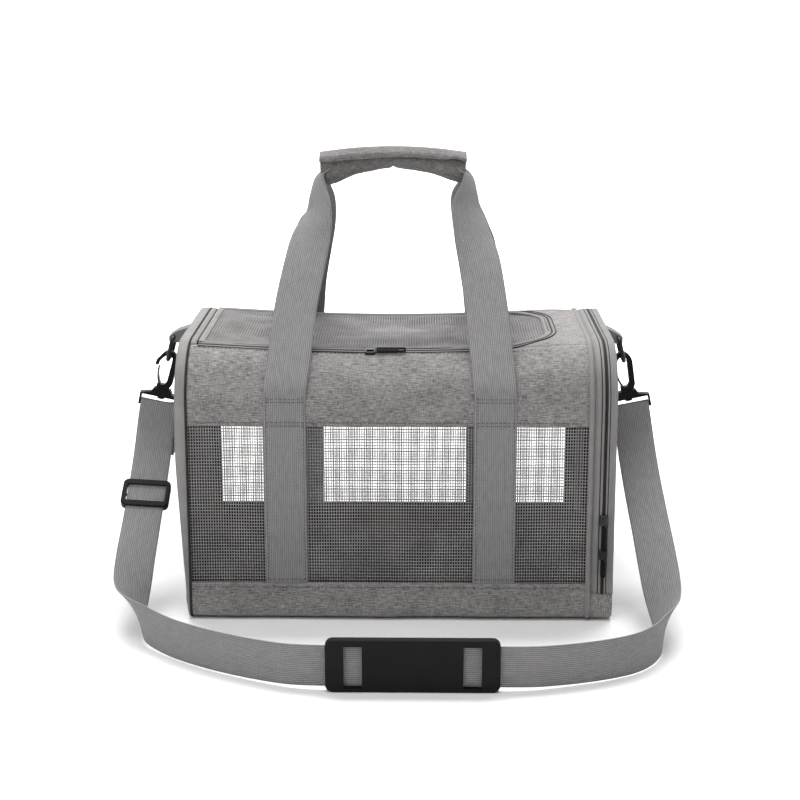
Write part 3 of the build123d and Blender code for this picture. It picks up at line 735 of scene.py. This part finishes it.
zip_ring = ring_down_to(30.2 * MM)
# Each half's groove bead, near black, is painted shade in the seam beside its tape.
for half, tape, coil_x, groove_shade_x, body in (
        ("fixed", [(0.2072, 0.0), (0.2078, 0.7), (0.2100, 0.7), (0.2103, 0.1)], 0.2106, 0.2070, "carrier"),
        ("door", [(0.2127, 0.1), (0.2130, 0.7), (0.2148, 0.7), (0.2152, 0.0)], 0.2124, 0.2154, "end_door")):
    zip_half = joined(f"door_zip_tape_{half}", [
        section_band(f"door_zip_tape_{half}", tape, 1.2 * MM, [cloth_binding], places=zip_ring),
        loop_sweep(f"coil_{half}", coil_x, coil_radius, coil_and_seam_shade, zip_ring, 0.3 * MM),
        loop_sweep(f"groove_{half}", groove_shade_x, groove_shade_radius, coil_and_seam_shade, zip_ring, 0.3 * MM)])
    finish_piece(zip_half, body, "zip_coil", f"door_zip_{half}_half")
binding_columns = [(0.2150, -0.3), (0.2160, 0.9), (0.2180, 1.1), (0.2186, 0.5), (0.2192, 1.2),
                   (0.2215, 1.3), (0.2226, 0.2)]
finish_piece(section_band("end_door_binding_cloth", binding_columns, 1.6 * MM, binding_cloths,
                          places=ring_down_to(30.4 * MM)),
             "end_door", "smooth_binding", "end_door_binding")


# ---------------------------------------------------------------- netting

def strands(name, lines, width, thickness, material):
    """Net threads. Each line is a list of (point, normal)."""
    points, faces = [], []
    for line in lines:
        start = len(points)
        tangents = np.gradient(np.array([p for p, n in line], float), axis=0)
        for (place, normal), tangent in zip(line, tangents):
            place, normal = np.asarray(place, float), np.asarray(normal, float)
            side = unit(np.cross(unit(tangent), normal))
            for u, v in ((width / 2, 0), (0, thickness / 2), (-width / 2, 0), (0, -thickness / 2)):
                points.append(place + side * u + normal * v)
        faces += tube_faces(len(line), 4, start)
    return mesh_object(name, points, faces, [material])


def net_bulge(x, z):
    """Slack netting: it bellies between its seams and ripples a little."""
    t = (z - window_bottom) / (window_top - window_bottom)
    u = (x - seam_left) / (seam_right - seam_left)
    hold = max(0.0, 4 * t * (1 - t)) ** 0.5 * max(0.0, 4 * u * (1 - u)) ** 0.25
    return hold * (-0.8 * MM + 1.6 * MM * ridge(x * 11, z * 13, 4.4))


for side, side_name in sides:
    lines = []
    middle_y, normal = side * (half_width - 1.0 * MM), (0, side, 0)
    for x in steps(seam_left + 1 * MM, seam_right - 1 * MM, net_pitch_x):
        zs = steps(window_bottom - 3 * MM, window_top + 3 * MM, 12 * MM)
        lines.append([((x + 0.5 * MM * ridge(x * 30, z * 12, 1.2),
                        middle_y + side * net_bulge(x, z), z), normal) for z in zs])
    for z in steps(window_bottom, window_top, net_pitch_z):
        lines.append([((x, middle_y + side * (net_bulge(x, z) + 0.1 * MM),
                        z + 0.7 * MM * ridge(x * 14, z * 9, 6.2)), normal)
                      for x in steps(seam_left, seam_right, 9 * MM)])
    finish_piece(strands(f"{side_name}_window_net", lines, *window_strand, thread),
                 "carrier", "mesh_net", f"{side_name}_mesh_window")


# ---------------------------------------------------------------- top flap and the panel behind it

def rounded(over, straight, radius):
    """Reach of an outline that is straight, with a rounded corner over past the corner's start."""
    return straight + (radius if over <= 0 else math.sqrt(max(radius ** 2 - over ** 2, 0.0)))


def top_point(x, y, lift=0.0):
    height = rounded(abs(y) - flat_top, body_top - shoulder, shoulder)
    point = np.array((x, y, height)) + top_normal(y) * lift
    return point - (0.0, 0.0, sag(x, point[2]))


def top_normal(y):
    over = max(0.0, abs(y) - flat_top) * (1 if y > 0 else -1)
    return np.array((0.0, over / shoulder, math.sqrt(max(1 - (over / shoulder) ** 2, 0.0))))


side_counts = (33, 21, 33, 21)        # points on the flap's front, free, rear and hinged sides
corner_counts = (15, 15, 5, 5)        # points on the corner after each of these


def flap_loop(inset, left_inset=None, small=None):
    """Rounded outline inside the flap's edge, as (x, y) points with matching places for every inset."""
    left_inset = inset if left_inset is None else left_inset
    small = 9 * MM - min(left_inset, 6 * MM) if small is None else small
    big, half = flap_corner - inset, flap_half - inset
    right, left = flap_end - inset - big, flap_start + left_inset + small
    hinged_front = (left, small - half, small)
    corners = (hinged_front, (right, big - half, big), (right, half - big, big),
               (left, half - small, small), hinged_front)
    points = []
    for k, ((x0, y0, radius0), (x, y, radius)) in enumerate(zip(corners, corners[1:])):
        turn = (k - 1) * math.pi / 2
        out = np.array((math.cos(turn), math.sin(turn)))
        points += list(np.linspace((x0, y0) + out * radius0, (x, y) + out * radius, side_counts[k] + 1)[:-1])
        for a in np.linspace(turn, turn + math.pi / 2, corner_counts[k] + 1)[:-1]:
            points.append((x + radius * math.cos(a), y + radius * math.sin(a)))
    return points


def flap_lift(x, y, share):
    puff = 1.5 * MM * math.sin(math.pi * min(1.0, max(0.0, share))) ** 0.6
    return puff * (1 + 0.5 * ridge(x * 26, y * 26, 3.3))


insets = [v * MM for v in (0.4, 1.0, 2.2, 3.6, 5.0, 6.2, 7.0)]
loops = [flap_loop(inset) for inset in insets]
shares = [(inset - insets[0]) / (insets[-1] - insets[0]) for inset in insets]
border_grid = [np.array([[top_point(x, y, flap_lift(x, y, share) - sink)
                          for share, (x, y) in zip(shares, row)] for row in zip(*loops)])
               for sink in (0.0, 2.0 * MM)]
border_uv = np.array([[(run, inset) for inset in insets] for run in lengths_along(np.array(loops[0]))])
finish_piece(closed_sheet("top_flap_border_cloth", *border_grid, border_uv, binding_cloths, wrap_rows=True),
             "top_flap", "smooth_binding", "top_flap_border")


def gather(x, y):
    """Gathered netting on the flap: it sags and folds towards its seams."""
    u = (x - flap_start - flap_band) / (flap_end - flap_start - 2 * flap_band)
    v = (y + flap_half - flap_band) / (2 * (flap_half - flap_band))
    hold = min(1.0, max(0.0, min(u, 1 - u, v, 1 - v) * 9))
    folds = 1.5 * MM * ridge(x * 34, y * 30, 2.7) + 2.2 * MM * ridge(x * 12, y * 15, 5.9)
    return hold * (folds - 1.4 * MM)


net_edge = flap_band - 1.5 * MM
net_half, net_start, net_end = flap_half - net_edge, flap_start + net_edge, flap_end - net_edge
net_corner = flap_corner - flap_band
lines = []
for x in steps(net_start, net_end - 2 * MM, flap_net_pitch):
    chord = rounded(x - (net_end - net_corner), net_half - net_corner, net_corner)
    lines.append([(top_point(x + 0.8 * MM * ridge(x * 30, y * 22, 2.1), y, gather(x, y) - 1.2 * MM),
                   top_normal(y)) for y in steps(-chord, chord, 7 * MM)])
for y in steps(-net_half, net_half, flap_net_pitch):
    far_x = rounded(abs(y) - (net_half - net_corner), net_end - net_corner, net_corner)
    lines.append([(top_point(x, y + 0.8 * MM * ridge(x * 22, y * 30, 7.1), gather(x, y) - 1.1 * MM),
                   top_normal(y)) for x in steps(net_start, far_x, 7 * MM)])
finish_piece(strands("top_flap_net", lines, *flap_strand, thread_light),
             "top_flap", "mesh_net", "top_flap_mesh")

end_rows = []
end_arcs = steps(-zip_arc, zip_arc, 4 * MM)
for s in end_arcs:
    low_x = rounded(abs(outline(s)[0]) - (flap_half - flap_corner), flap_end - flap_corner,
                    flap_corner + 0.8 * MM)
    tucked = abs(s) > zip_arc - 0.1 * MM
    s_here = s * (1 + 1.5 * MM / abs(s)) if tucked else s
    sink = 0.5 * MM if tucked else 0.0
    end_rows.append([(x, s_here, upper_lift(x, s_here) - sink) for x in np.linspace(low_x, seam_right, 20)])
finish_piece(skin_sheet("top_end_cloth", end_rows, cloth, body_cloths, np.array(end_rows)[:, :, :2]),
             "carrier", "heathered_fabric", "top_end_panel")

finish_piece(panel_sheet("top_hinge_cloth", [seam_left, -0.2050, -0.2030, -0.2003], end_arcs,
                         lambda x, s: 0.8 * MM if -0.2055 < x < -0.2025 else 0.0, binding_cloths),
             "carrier", "smooth_binding", "top_hinge_tape")


def edge_sweep(name, inset, lift, profile, material):
    """A profile in millimetres, carried along the flap's free edge."""
    count = sum(side_counts[:3]) + sum(corner_counts[:2]) + 1
    xy = flap_loop(inset, left_inset=0.5 * MM, small=0.5 * MM)[:count]
    centres = np.array([top_point(x, y, lift) for x, y in xy])
    normals = [top_normal(y) for x, y in xy]
    tangents = np.gradient(centres, axis=0)
    across = [unit(np.cross(unit(t), n)) for t, n in zip(tangents, normals)]
    return sweep(name, centres, across, normals, [(u * MM, v * MM) for u, v in profile], [material])


def bead(radius, rise=0.0, count=7):
    turns = [2 * math.pi * k / count for k in range(count)]
    return [(radius * math.cos(a), rise + radius * math.sin(a)) for a in turns]


zip_tape = [(-1.5, 0.2), (-1.5, -1.0), (1.7, -1.2), (1.6, -0.2)]
# Each half's edge_line is a near-black bead beside its tape. On the fixed half it is painted shade in the
# recess between the tape and the body cloth.
for zip_name, body, inset, node in (("top_zip_tape_fixed", "carrier", -2.3 * MM, "top_zip_fixed_half"),
                                    ("top_zip_tape_flap", "top_flap", 1.7 * MM, "top_zip_flap_half")):
    inward = 1 if inset < 0 else -1
    zip_half = joined(zip_name, [
        edge_sweep(zip_name, inset, 0.7 * MM, zip_tape, cloth_binding),
        edge_sweep("coil_line", inset + inward * 1.7 * MM, 0.7 * MM, bead(0.65), coil_and_seam_shade),
        edge_sweep("edge_line", inset - inward * 1.9 * MM, 1.2 * MM, bead(0.6, -0.1), coil_and_seam_shade)])
    finish_piece(zip_half, body, "zip_coil", node)


# ---------------------------------------------------------------- stitching

def stitches(name, path, normal, slot, stitch=3.2 * MM, gap=1.2 * MM, radius=0.32 * MM):
    """Row of thread stitches lying on a line, on a surface with one normal."""
    path, normal = np.asarray(path, float), unit(normal)
    run = lengths_along(path)

    def at(place):
        return np.array([np.interp(place, run, path[:, k]) for k in range(3)])

    points, faces = [], []
    place = gap
    while place + stitch < run[-1]:
        faces += tube_faces(4, 5, len(points))
        side = unit(np.cross(unit(at(place + stitch) - at(place)), normal))
        for share, size, sink in ((0, 0.35, -0.25), (0.2, 1, 0.2), (0.8, 1, 0.2), (1, 0.35, -0.25)):
            centre = at(place + stitch * share) + normal * radius * sink
            for turn in range(5):
                a = 2 * math.pi * turn / 5
                points.append(centre + (side * math.cos(a) + normal * math.sin(a)) * radius * size)
        place += stitch + gap
    finish_piece(mesh_object(name, points, faces, [sewing_dark]), "carrier", slot)


for side, side_name in sides:
    for seam_name, arc, lift, end_gap in (("zip_seam", zip_arc + 6 * MM, 1.1 * MM, 30 * MM),
                                          ("window_top_seam", window_arc_top - 4 * MM, 0.9 * MM, 4 * MM),
                                          ("window_low_seam", window_arc_low + 4 * MM, 0.9 * MM, 4 * MM)):
        xs = steps(seam_left + 4 * MM, seam_right - end_gap, 6 * MM)
        stitches(f"{side_name}_{seam_name}", [skin_point(x, side * arc, lift) for x in xs],
                 (0, *outline(side * arc)[2:]), "smooth_binding")


# ---------------------------------------------------------------- handles

face_y = half_width + 0.9 * MM


def smooth_curve(points, count):
    """Smooth line through the points (Catmull-Rom), evenly sampled per span."""
    points = np.asarray(points, float)
    padded = np.concatenate([[2 * points[0] - points[1]], points, [2 * points[-1] - points[-2]]])
    out = []
    for i in range(1, len(padded) - 2):
        a, b, c, d = padded[i - 1:i + 3]
        for t in np.linspace(0, 1, count, endpoint=False):
            out.append(0.5 * (2 * b + (c - a) * t + (2 * a - 5 * b + 4 * c - d) * t ** 2
                              + (3 * b - a - 3 * c + d) * t ** 3))
    out.append(points[-1])
    return np.array(out)


def leg_strap(name, places, side):
    """One leg of a handle, from its sewn foot on the bag's face up into the grip.
    places holds (x, depth from the bag's middle, height, turn in degrees, share of the full width)."""
    line = smooth_curve([(x, side * y, z, turn, share) for x, y, z, turn, share in places], 6)
    centres = line[:, :3]
    across, normals = [], []
    for tangent, turn in zip(np.gradient(centres, axis=0), np.radians(line[:, 3])):
        tangent = unit(tangent)
        flat = unit(np.array((1.0, 0, 0)) - tangent * tangent[0])
        up = np.cross(flat, tangent)
        across.append(flat * math.cos(turn) + up * math.sin(turn) * (-side))
        normals.append(unit(np.cross(across[-1], tangent)))
    return sweep(name, centres, across, normals, flat_profile(handle_width, handle_thickness),
                 [handle_webbing_with_painted_light], scales=line[:, 4])


def sewn_foot(x, lean):
    """The first places of a leg: flat on the face, then leaning in over the top edge."""
    places = [(x, face_y, 0.0370, 0, 1), (x, face_y, 0.0800, 0, 1), (x, face_y + 0.0003, 0.1400, 0, 1)]
    places += [(x, face_y, 0.2000, 0, 1), (x, face_y, 0.2300, 0, 1)]
    return places + [(x + lean, face_y - 0.0010, 0.2440, 0, 1)]


legs = (
    sewn_foot(left_strap_x, 0.0010) + [
        (-0.1040, 0.1200, 0.2740, 0, 1), (-0.0995, 0.0905, 0.3150, 0, 1), (-0.0917, 0.0625, 0.3550, 4, 1),
        (-0.0856, 0.0430, 0.3820, 17, 1), (-0.0795, 0.0285, 0.4050, 44, 0.92),
        (-0.0800, 0.0180, 0.4250, 52, 0.64), (-0.0785, 0.0095, 0.4390, 62, 0.48),
        (-0.0680, 0.0060, 0.4470, 72, 0.40)],
    sewn_foot(right_strap_x, -0.0010) + [
        (0.0975, 0.1200, 0.2740, 0, 1), (0.0930, 0.0905, 0.3150, 0, 1), (0.0867, 0.0625, 0.3550, -4, 1),
        (0.0800, 0.0430, 0.3820, -22, 1), (0.0745, 0.0270, 0.4080, -40, 0.95),
        (0.0765, 0.0175, 0.4270, -52, 0.62), (0.0755, 0.0090, 0.4400, -62, 0.48),
        (0.0650, 0.0060, 0.4480, -72, 0.40)],
)
for side, side_name in sides:
    handle = joined(f"{side_name}_handle_strap",
                    [leg_strap(f"{side_name}_leg_{k}", leg, side) for k, leg in enumerate(legs)])
    finish_piece(handle, None, "handle_webbing", f"{side_name}_sewn_straps", f"{side_name}_handle_webbing")
    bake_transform(handle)
    surface = side * (face_y + handle_thickness / 2 + 0.15 * MM)
    for strap_x, leg_name in ((left_strap_x, "left"), (right_strap_x, "right")):
        for offset, line_name in ((-18.5 * MM, "outer"), (18.5 * MM, "inner")):
            stitches(f"{side_name}_{leg_name}_{line_name}_stitch",
                     [(strap_x + offset, surface, z) for z in steps(sewn_low, sewn_high, 10 * MM)],
                     (0, side, 0), "handle_webbing")
        for z in sewn_rows:
            stitches(f"{side_name}_{leg_name}_row_{round(z * 10000)}",
                     [(x, surface, z) for x in steps(strap_x - 20 * MM, strap_x + 20 * MM, 8 * MM)],
                     (0, side, 0), "handle_webbing")


# ---------------------------------------------------------------- grip wrap

def wrap_share(x):
    """-1 at the wrap's left end, 1 at its right end."""
    return (x - wrap_start) / (wrap_end - wrap_start) * 2 - 1


def wrap_shape(x):
    """Top, bottom and half depth of the wrap at x: thick at both ends, pinched in the middle."""
    t = wrap_share(x)
    top = wrap_high.z + 3.5 * MM - 6.0 * MM * t * t
    marks = (-1.0, -0.97, -0.90, -0.80, -0.5, -0.2, -0.04, 0.0, 0.05, 0.25, 0.5, 0.8, 0.93, 0.98, 1.0)
    lows = (441, 434, 428, 430.5, 440, 444.5, 446, 448, 446, 444.5, 441, 434, 431, 434, 440)
    depth = 0.0135 + 0.0015 * t * t - 0.0012 * bell(t, 0, 0.08)
    return top, float(np.interp(t, marks, lows)) * MM, depth


def half_wrap(name, side, body, node):
    """Front or rear half of the padded wrap, closed with a flat inner face."""
    xs = np.concatenate([[wrap_start, wrap_start + 0.5 * MM, wrap_start + 1.5 * MM],
                         steps(wrap_start + 4 * MM, wrap_end - 4 * MM, 3 * MM),
                         [wrap_end - 1.5 * MM, wrap_end - 0.5 * MM, wrap_end]])
    turns = np.linspace(-math.pi / 2, math.pi / 2, 19)
    points, uv = [], []
    for x in xs:
        end_gap = min(x - wrap_start, wrap_end - x)
        shrink = 1.0 - 0.12 * max(0.0, 1 - end_gap / (1.5 * MM)) ** 2
        top, bottom, depth = wrap_shape(x)
        middle, rise = (top + bottom) / 2, (top - bottom) / 2
        for a in turns:
            crease = 0.7 * MM * ridge(x * 60, a * 1.2, side * 3.1) + 0.5 * MM * ridge(x * 150, a * 2.0, side)
            reach = shrink * (1 + crease / (12 * MM))
            y = side * (0.4 * MM + (depth - 0.4 * MM) * reach * math.cos(a) ** 0.8)
            points.append((x, y, middle + rise * reach * math.sin(a)))
            uv.append((x, a * depth * 1.1))
    piece = mesh_object(name, points, tube_faces(len(xs), len(turns)), [cloth_grip], uv)
    finish_piece(piece, body, "heathered_fabric", node)


def wrap_flap():
    """The wrap's closing flap: from the back, over the top, its hemmed edge standing free in front."""
    outer, inner, uv = [], [], []
    for x in steps(wrap_start - 0.5 * MM, wrap_end + 0.8 * MM, 3 * MM):
        t = wrap_share(x)
        top, bottom, depth = wrap_shape(min(max(x, wrap_start), wrap_end))
        curl = 1.6 * MM * bell(t, 0.86, 0.1) + 1.0 * MM * bell(t, -0.97, 0.08)
        drop = 7.5 * MM - 1.0 * MM * t + 1.5 * MM * ridge(x * 22, 1.0, 1.0) - 2.2 * curl
        line = smooth_curve([(0.0, y, top + rise) for y, rise in (
            (depth + 0.8 * MM, -12 * MM), (depth * 0.92 + 1.3 * MM, -7 * MM), (depth * 0.66, -1.2 * MM),
            (depth * 0.35, 1.6 * MM), (0.0, 2.5 * MM), (-depth * 0.45, 2.2 * MM + 0.3 * curl),
            (-depth * 0.8 - 0.5 * MM, 0.2 * MM + 0.8 * curl),
            (-depth - 2.8 * MM - curl, -3.2 * MM + 0.8 * curl), (-depth - 4.2 * MM - curl, -drop))], 3)
        rows, backs, flat = [], [], []
        travelled = 0.0
        for k, (point, direction) in enumerate(zip(line, np.gradient(line, axis=0))):
            normal = unit(np.cross(direction, (1.0, 0, 0)))
            if normal[2] < 0 and k < 12:
                normal = -normal
            travelled += float(np.linalg.norm(direction))
            hem = 0.5 * MM if k > len(line) - 6 else 0.0
            back = 1.9 * MM + hem
            rows.append((x, point[1] + normal[1] * hem, point[2] + normal[2] * hem))
            backs.append((x, point[1] - normal[1] * back, point[2] - normal[2] * back))
            flat.append((x, travelled))
        outer.append(rows)
        inner.append(backs)
        uv.append(flat)
    return closed_sheet("grip_wrap_flap", *map(np.array, (outer, inner, uv)), [cloth_grip])


half_wrap("grip_wrap_front_half", -1, "front_handle", "grip_wrap_front")
half_wrap("grip_wrap_rear_half", 1, "rear_handle", "grip_wrap_rear")
flap_piece = wrap_flap()
soften(flap_piece, 0.6 * MM, 3, 40)
finish_piece(flap_piece, "rear_handle", "heathered_fabric")


# ---------------------------------------------------------------- inside

def padded_mat():
    """Quilted mat: a rounded slab, blown up a little by cloth simulation."""
    mesh = bpy.data.meshes.new("sleeping_mat")
    shape = bmesh.new()
    bmesh.ops.create_cube(shape, size=1.0)
    for vertex in shape.verts:
        vertex.co.x *= mat_high.x - mat_low.x - 4 * MM
        vertex.co.y *= mat_high.y - mat_low.y - 4 * MM
        vertex.co.z *= mat_high.z - mat_low.z - 3 * MM
        vertex.co += (mat_high + mat_low) / 2
    bmesh.ops.bevel(shape, geom=list(shape.edges), offset=3.5 * MM, segments=3, affect="EDGES")
    shape.to_mesh(mesh)
    shape.free()
    mesh.materials.append(cloth_mat)
    mat = place_object("sleeping_mat", mesh)
    remesh = mat.modifiers.new("even_mesh", "REMESH")
    remesh.mode = "VOXEL"
    remesh.voxel_size = 6 * MM
    bpy.context.view_layer.objects.active = mat
    bpy.ops.object.modifier_apply(modifier=remesh.name)
    before = np.array([tuple(v.co) for v in mat.data.vertices])
    filling = mat.modifiers.new("filling", "CLOTH")
    filling.settings.use_pressure = True
    filling.settings.uniform_pressure_force = mat_pressure
    filling.settings.effector_weights.gravity = 0.0
    for step in range(1, mat_frames + 1):
        bpy.context.scene.frame_set(step)
    bpy.ops.object.modifier_apply(modifier=filling.name)
    bpy.context.scene.frame_set(1)
    for vertex, start in zip(mat.data.vertices, before):
        shift = np.array(vertex.co) - start
        size = float(np.linalg.norm(shift))
        place = start + shift * min(1.0, mat_puff / max(size, 1e-9))
        if place[2] > mat_high.z - 5 * MM:
            place[2] += quilt_height * math.cos(place[0] * quilt_turns) * math.cos(place[1] * quilt_turns)
        vertex.co = place
    for polygon in mat.data.polygons:
        polygon.use_smooth = True
    smooth = mat.modifiers.new("smooth_surface", "SUBSURF")
    smooth.levels = smooth.render_levels = 1
    return mat


mat = padded_mat()
finish_piece(mat, "carrier", "fleece", "fleece_mat")


# ---------------------------------------------------------------- parts carried over from the frame

def lowered(node, body, slot, material, tilt):
    """The slider or pull on the top zip, let down with the cloth it runs on."""
    mesh = nodes_of[node].data.copy()
    mesh.name = f"{node}_on_cloth"
    low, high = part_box(node)
    hinge = Vector(((low.x + high.x) / 2, high.y, high.z - 2 * MM))
    tip = Matrix.Rotation(math.radians(tilt), 4, "X")
    mesh.transform(Matrix.Translation(hinge) @ tip @ Matrix.Translation(-hinge))
    mesh.transform(Matrix.Translation((0, 0, -sag(hinge.x, high.z))))
    piece = place_object(f"{node}_on_cloth", mesh)
    mesh.materials.clear()
    mesh.materials.append(material)
    soften(piece, 0.25 * MM)
    finish_piece(piece, body, slot, node)


lowered("top_zip_slider", "top_slider", "slider_metal", enamel, 8)
lowered("top_zip_pull", "top_pull", "pull_rubber", plastic, 22)
finishes = (
    (plastic, ("left_hook_base", "right_hook_base", "left_hook", "right_hook", "strap_adjuster", "feet",
               "door_zip_pull_upper", "door_zip_pull_lower")),
    (enamel, ("left_d_ring", "right_d_ring", "left_hook_gate", "right_hook_gate",
              "door_zip_slider_upper", "door_zip_slider_lower")),
    (rubber, ("shoulder_pad",)),
    (handle_webbing_with_painted_light, ("left_d_ring_tab", "right_d_ring_tab")),
    (cloth_lining, ("base_board", "left_frame_wire", "right_frame_wire")),
)
for material, names in finishes:
    for name in names:
        part = nodes_of[name]
        part.data.materials.clear()
        part.data.materials.append(material)
        soften(part, 0.25 * MM)


# ---------------------------------------------------------------- floor and light

def studio_white():
    """White floor that glows more towards the back, where the lights do not reach."""
    shade = Shade("studio_white")
    tone = shade.noise(shade.solid(), 0.7)
    shade.colours(tone, (0.3, (0.93, 0.93, 0.93)), (0.7, (0.95, 0.95, 0.95)))
    depth = shade.add("SeparateXYZ", {0: shade.solid()}, "Y")
    shade.remap(depth, "Emission Strength", (0.0, 0.95), start=(0.35, 1.3))
    shade.shader.inputs["Emission Color"].default_value = (1.0, 1.0, 1.0, 1.0)
    return shade.finished(roughness=0.9)


def backdrop(depth=2.6, radius=1.2, half_length=5.0, drop=0.2 * MM):
    """Seamless white floor that curves up behind the bag."""
    line = [(-3.5, 0.0), (-1.0, 0.0), (0.6, 0.0), (depth - radius, 0.0)]
    for a in np.linspace(0, math.pi / 2, 14)[1:]:
        line.append((depth - radius + radius * math.sin(a), radius - radius * math.cos(a)))
    line.append((depth, 5.0))
    points = [(x, y, z - drop) for x in (-half_length, half_length) for y, z in line]
    mesh_object("studio_floor", points, grid_faces(2, len(line)), [studio_white()])


def area_light(name, place, aim, size, power):
    data = bpy.data.lights.new(name, "AREA")
    data.shape = "RECTANGLE"
    data.size, data.size_y = size
    data.energy = power
    light = place_object(name, data)
    light.location = place
    light.rotation_euler = (Vector(aim) - Vector(place)).to_track_quat("-Z", "Y").to_euler()


backdrop()
area_light("top_light", (0.0, 0.62, 2.2), (0, 0.05, 0.1), (1.9, 0.8), 60)
area_light("front_top_light", (0.0, -1.1, 2.3), (0, 0, 0.25), (1.6, 0.8), 22)
area_light("key_light", (-0.7, -2.2, 1.7), (0, 0, 0.15), (1.4, 1.0), 12)
area_light("left_light", (-2.0, -0.6, 1.2), (0, 0, 0.15), (1.0, 1.0), 6)
world = bpy.data.worlds.new("studio")
world.use_nodes = True
background = world.node_tree.nodes["Background"]
background.inputs[0].default_value = (1.0, 1.0, 1.0, 1.0)
background.inputs[1].default_value = 0.2
bpy.context.scene.world = world
bpy.context.scene.view_settings.view_transform = "Standard"
